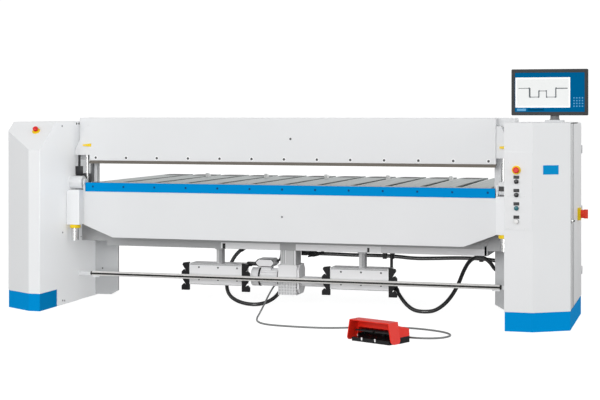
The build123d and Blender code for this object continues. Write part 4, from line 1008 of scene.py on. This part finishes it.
# Push buttons: round lit buttons in black rings, each under a square black label plate left blank.
# Two are black, one is teal and one is white; moulded and pushed in from the front.
cap_colours = (
    ("cap_black", (0.016, 0.016, 0.018)),
    ("cap_dark", (0.020, 0.021, 0.024)),
    ("cap_teal", (0.010, 0.140, 0.170)),
    ("cap_white", (0.80, 0.80, 0.79)),
)
button_x = 1.791
top_button = 1.005
button_pitch = 0.089
plate_half = 0.0190
button_caps = bmesh.new()
label_plates = bmesh.new()
for step in range(4):
    z = top_button - button_pitch * step
    place = facing(at(button_x, -0.5215, z), (0, -1, 0))
    turned(button_caps, place, [(0.0150, 0), (0.0150, 0.0008), (0.0138, 0.0016), (0, 0.0016)], 28, step)
    plate_low = (button_x - plate_half, -0.5105, z + 0.0185)
    plate_high = (button_x + plate_half, panel_face, z + 0.0400)
    box_form(label_plates, plate_low, plate_high)
piece(
    "button_caps", button_caps, [plain_paint(name, colour, 0.35, 0.5) for name, colour in cap_colours],
    "machine_frame",
)
piece("label_plates", label_plates, guide_black, "machine_frame")

# Monitor: a flat touch monitor in a black frame on a short swivelling neck.
# Its screen shows a plain folding program: a drawn sheet profile, a key pad and bars without words.
coat_node("monitor", plain_paint("monitor_frame", (0.022, 0.024, 0.026), 0.45, 0.25))
monitor_low, monitor_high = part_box("monitor")
bezel = 0.024
screen_left = monitor_low[0] - bend_line.x + bezel
screen_top = monitor_high[2] - bezel
screen_width = monitor_high[0] - monitor_low[0] - 2 * bezel
screen_height = 0.320 - 2 * bezel
screen_face = -0.1475
screen_glow = 0.35


def lit(name, colour):
    """A part of a lit screen: a matt colour with a little light of its own."""
    material, tree, shader, place = new_finish(name)
    pattern = grain(tree, place, 8, detail=1)
    tone = shades(tree, pattern, [(0.3, darker(colour, 0.985)), (0.7, colour)])
    tree.links.new(tone, shader.inputs["Base Color"])
    tree.links.new(tone, shader.inputs["Emission Color"])
    shader.inputs["Emission Strength"].default_value = screen_glow
    shader.inputs["Roughness"].default_value = 0.35
    shader.inputs["Specular IOR Level"].default_value = 0.0
    return material


screen = bmesh.new()
screen_finishes = [
    lit("screen_blue", (0.0, 0.088, 0.22)), lit("screen_white", (0.80, 0.80, 0.79)),
    lit("screen_grey", (0.66, 0.67, 0.665)), lit("screen_line", (0.10, 0.11, 0.12)),
    lit("screen_pale_blue", (0.10, 0.30, 0.50)), lit("screen_dark", (0.0, 0.045, 0.110)),
]


def screen_box(left, right, top, bottom, finish, layer):
    """Adds a field to the screen, placed by shares of its width and height; a higher layer hides a lower."""
    x0 = screen_left + left * screen_width
    x1 = screen_left + right * screen_width
    z0 = screen_top - bottom * screen_height
    z1 = screen_top - top * screen_height
    box_form(screen, (x0, screen_face - 0.0002 * layer, z0), (x1, screen_face, z1), finish)


screen_box(0, 1, 0, 1, 0, 1)
screen_box(0.008, 0.795, 0.123, 0.889, 1, 2)
screen_box(0.030, 0.775, 0.165, 0.850, 2, 3)
screen_box(0.03, 0.16, 0.915, 0.975, 4, 2)
screen_box(0.19, 0.42, 0.925, 0.965, 5, 2)
profile = [
    (0.056, 0.397), (0.206, 0.397), (0.222, 0.622), (0.342, 0.622), (0.352, 0.467),
    (0.453, 0.467), (0.458, 0.622), (0.585, 0.622), (0.595, 0.397), (0.755, 0.405),
]
line_half = 0.0035
line_half_height = 0.008
for (s0, t0), (s1, t1) in zip(profile, profile[1:]):
    left, right = sorted((s0, s1))
    top, bottom = sorted((t0, t1))
    screen_box(left - line_half, right + line_half, top - line_half_height, bottom + line_half_height, 3, 4)
for s, t in profile[1:-1]:
    screen_box(s - 0.009, s + 0.009, t - 0.018, t + 0.018, 3, 5)
key_pitch = (0.040, 0.070)
for row in range(4):
    for column in range(4):
        s = 0.840 + column * key_pitch[0]
        t = 0.630 + row * key_pitch[1]
        screen_box(s, s + 0.018, t, t + 0.030, 4, 3)
piece("screen_picture", screen, screen_finishes, "monitor")
neck_sleeve = bmesh.new()
place = facing(at(2.003, -0.100, 1.4165), (0, 0, 1))
turned(neck_sleeve, place, [(0.034, 0), (0.034, 0.006), (0.0305, 0.009), (0.0305, 0.029)], 32)
piece("neck_sleeve", neck_sleeve, shade_grey, "monitor")

# Foot switch: two black treads on a black base under a red hood, lying on the floor before the machine.
# Hood, treads and base are moulded plastic; two small clips at the base's front edge are painted white as
# glints, and a darker red plate at the back of the hood paints the shade inside it.
hood_red = powder_coat("hood_red", (0.84, 0.026, 0.012), 0.34, 0.35)
pedal_black = rubber("pedal_black", (0.013, 0.013, 0.014), 0.32)
coat_node("foot_switch_hood", hood_red, 0.0015)
coat_node("foot_switch_base", pedal_black, 0.001)
coat_node("left_pedal", pedal_black, 0.0006)
coat_node("right_pedal", pedal_black, 0.0006)
switch_turn = Matrix.Rotation(math.radians(-24), 4, "Z")
clip_place = Matrix.Translation(at(0.996, -1.139, 0)) @ switch_turn @ Matrix.Translation((0, 0, 0.010))
clips = bmesh.new()
for x in (-0.075, 0.031):
    outline = [(x, -0.0915), (x + 0.010, -0.0915), (x + 0.010, -0.0895), (x, -0.0895)]
    prism(clips, outline, clip_place, 0.018)
piece("foot_switch_glint_clips", clips, pale_and_highlight_white, "machine_frame")
# A dark red plate paints the shade inside the hood.
lining_place = Matrix.Translation(at(0.996, -1.139, 0)) @ switch_turn @ Matrix.Translation((0, 0, 0.042))
lining = bmesh.new()
outline = [(-0.140, 0.0945), (0.140, 0.0945), (0.140, 0.0965), (-0.140, 0.0965)]
prism(lining, outline, lining_place, 0.036)
hood_shade_red = powder_coat("hood_shade_red", (0.42, 0.004, 0.006), 0.5, 0.1)
piece("hood_shade_plate", lining, hood_shade_red, "machine_frame")
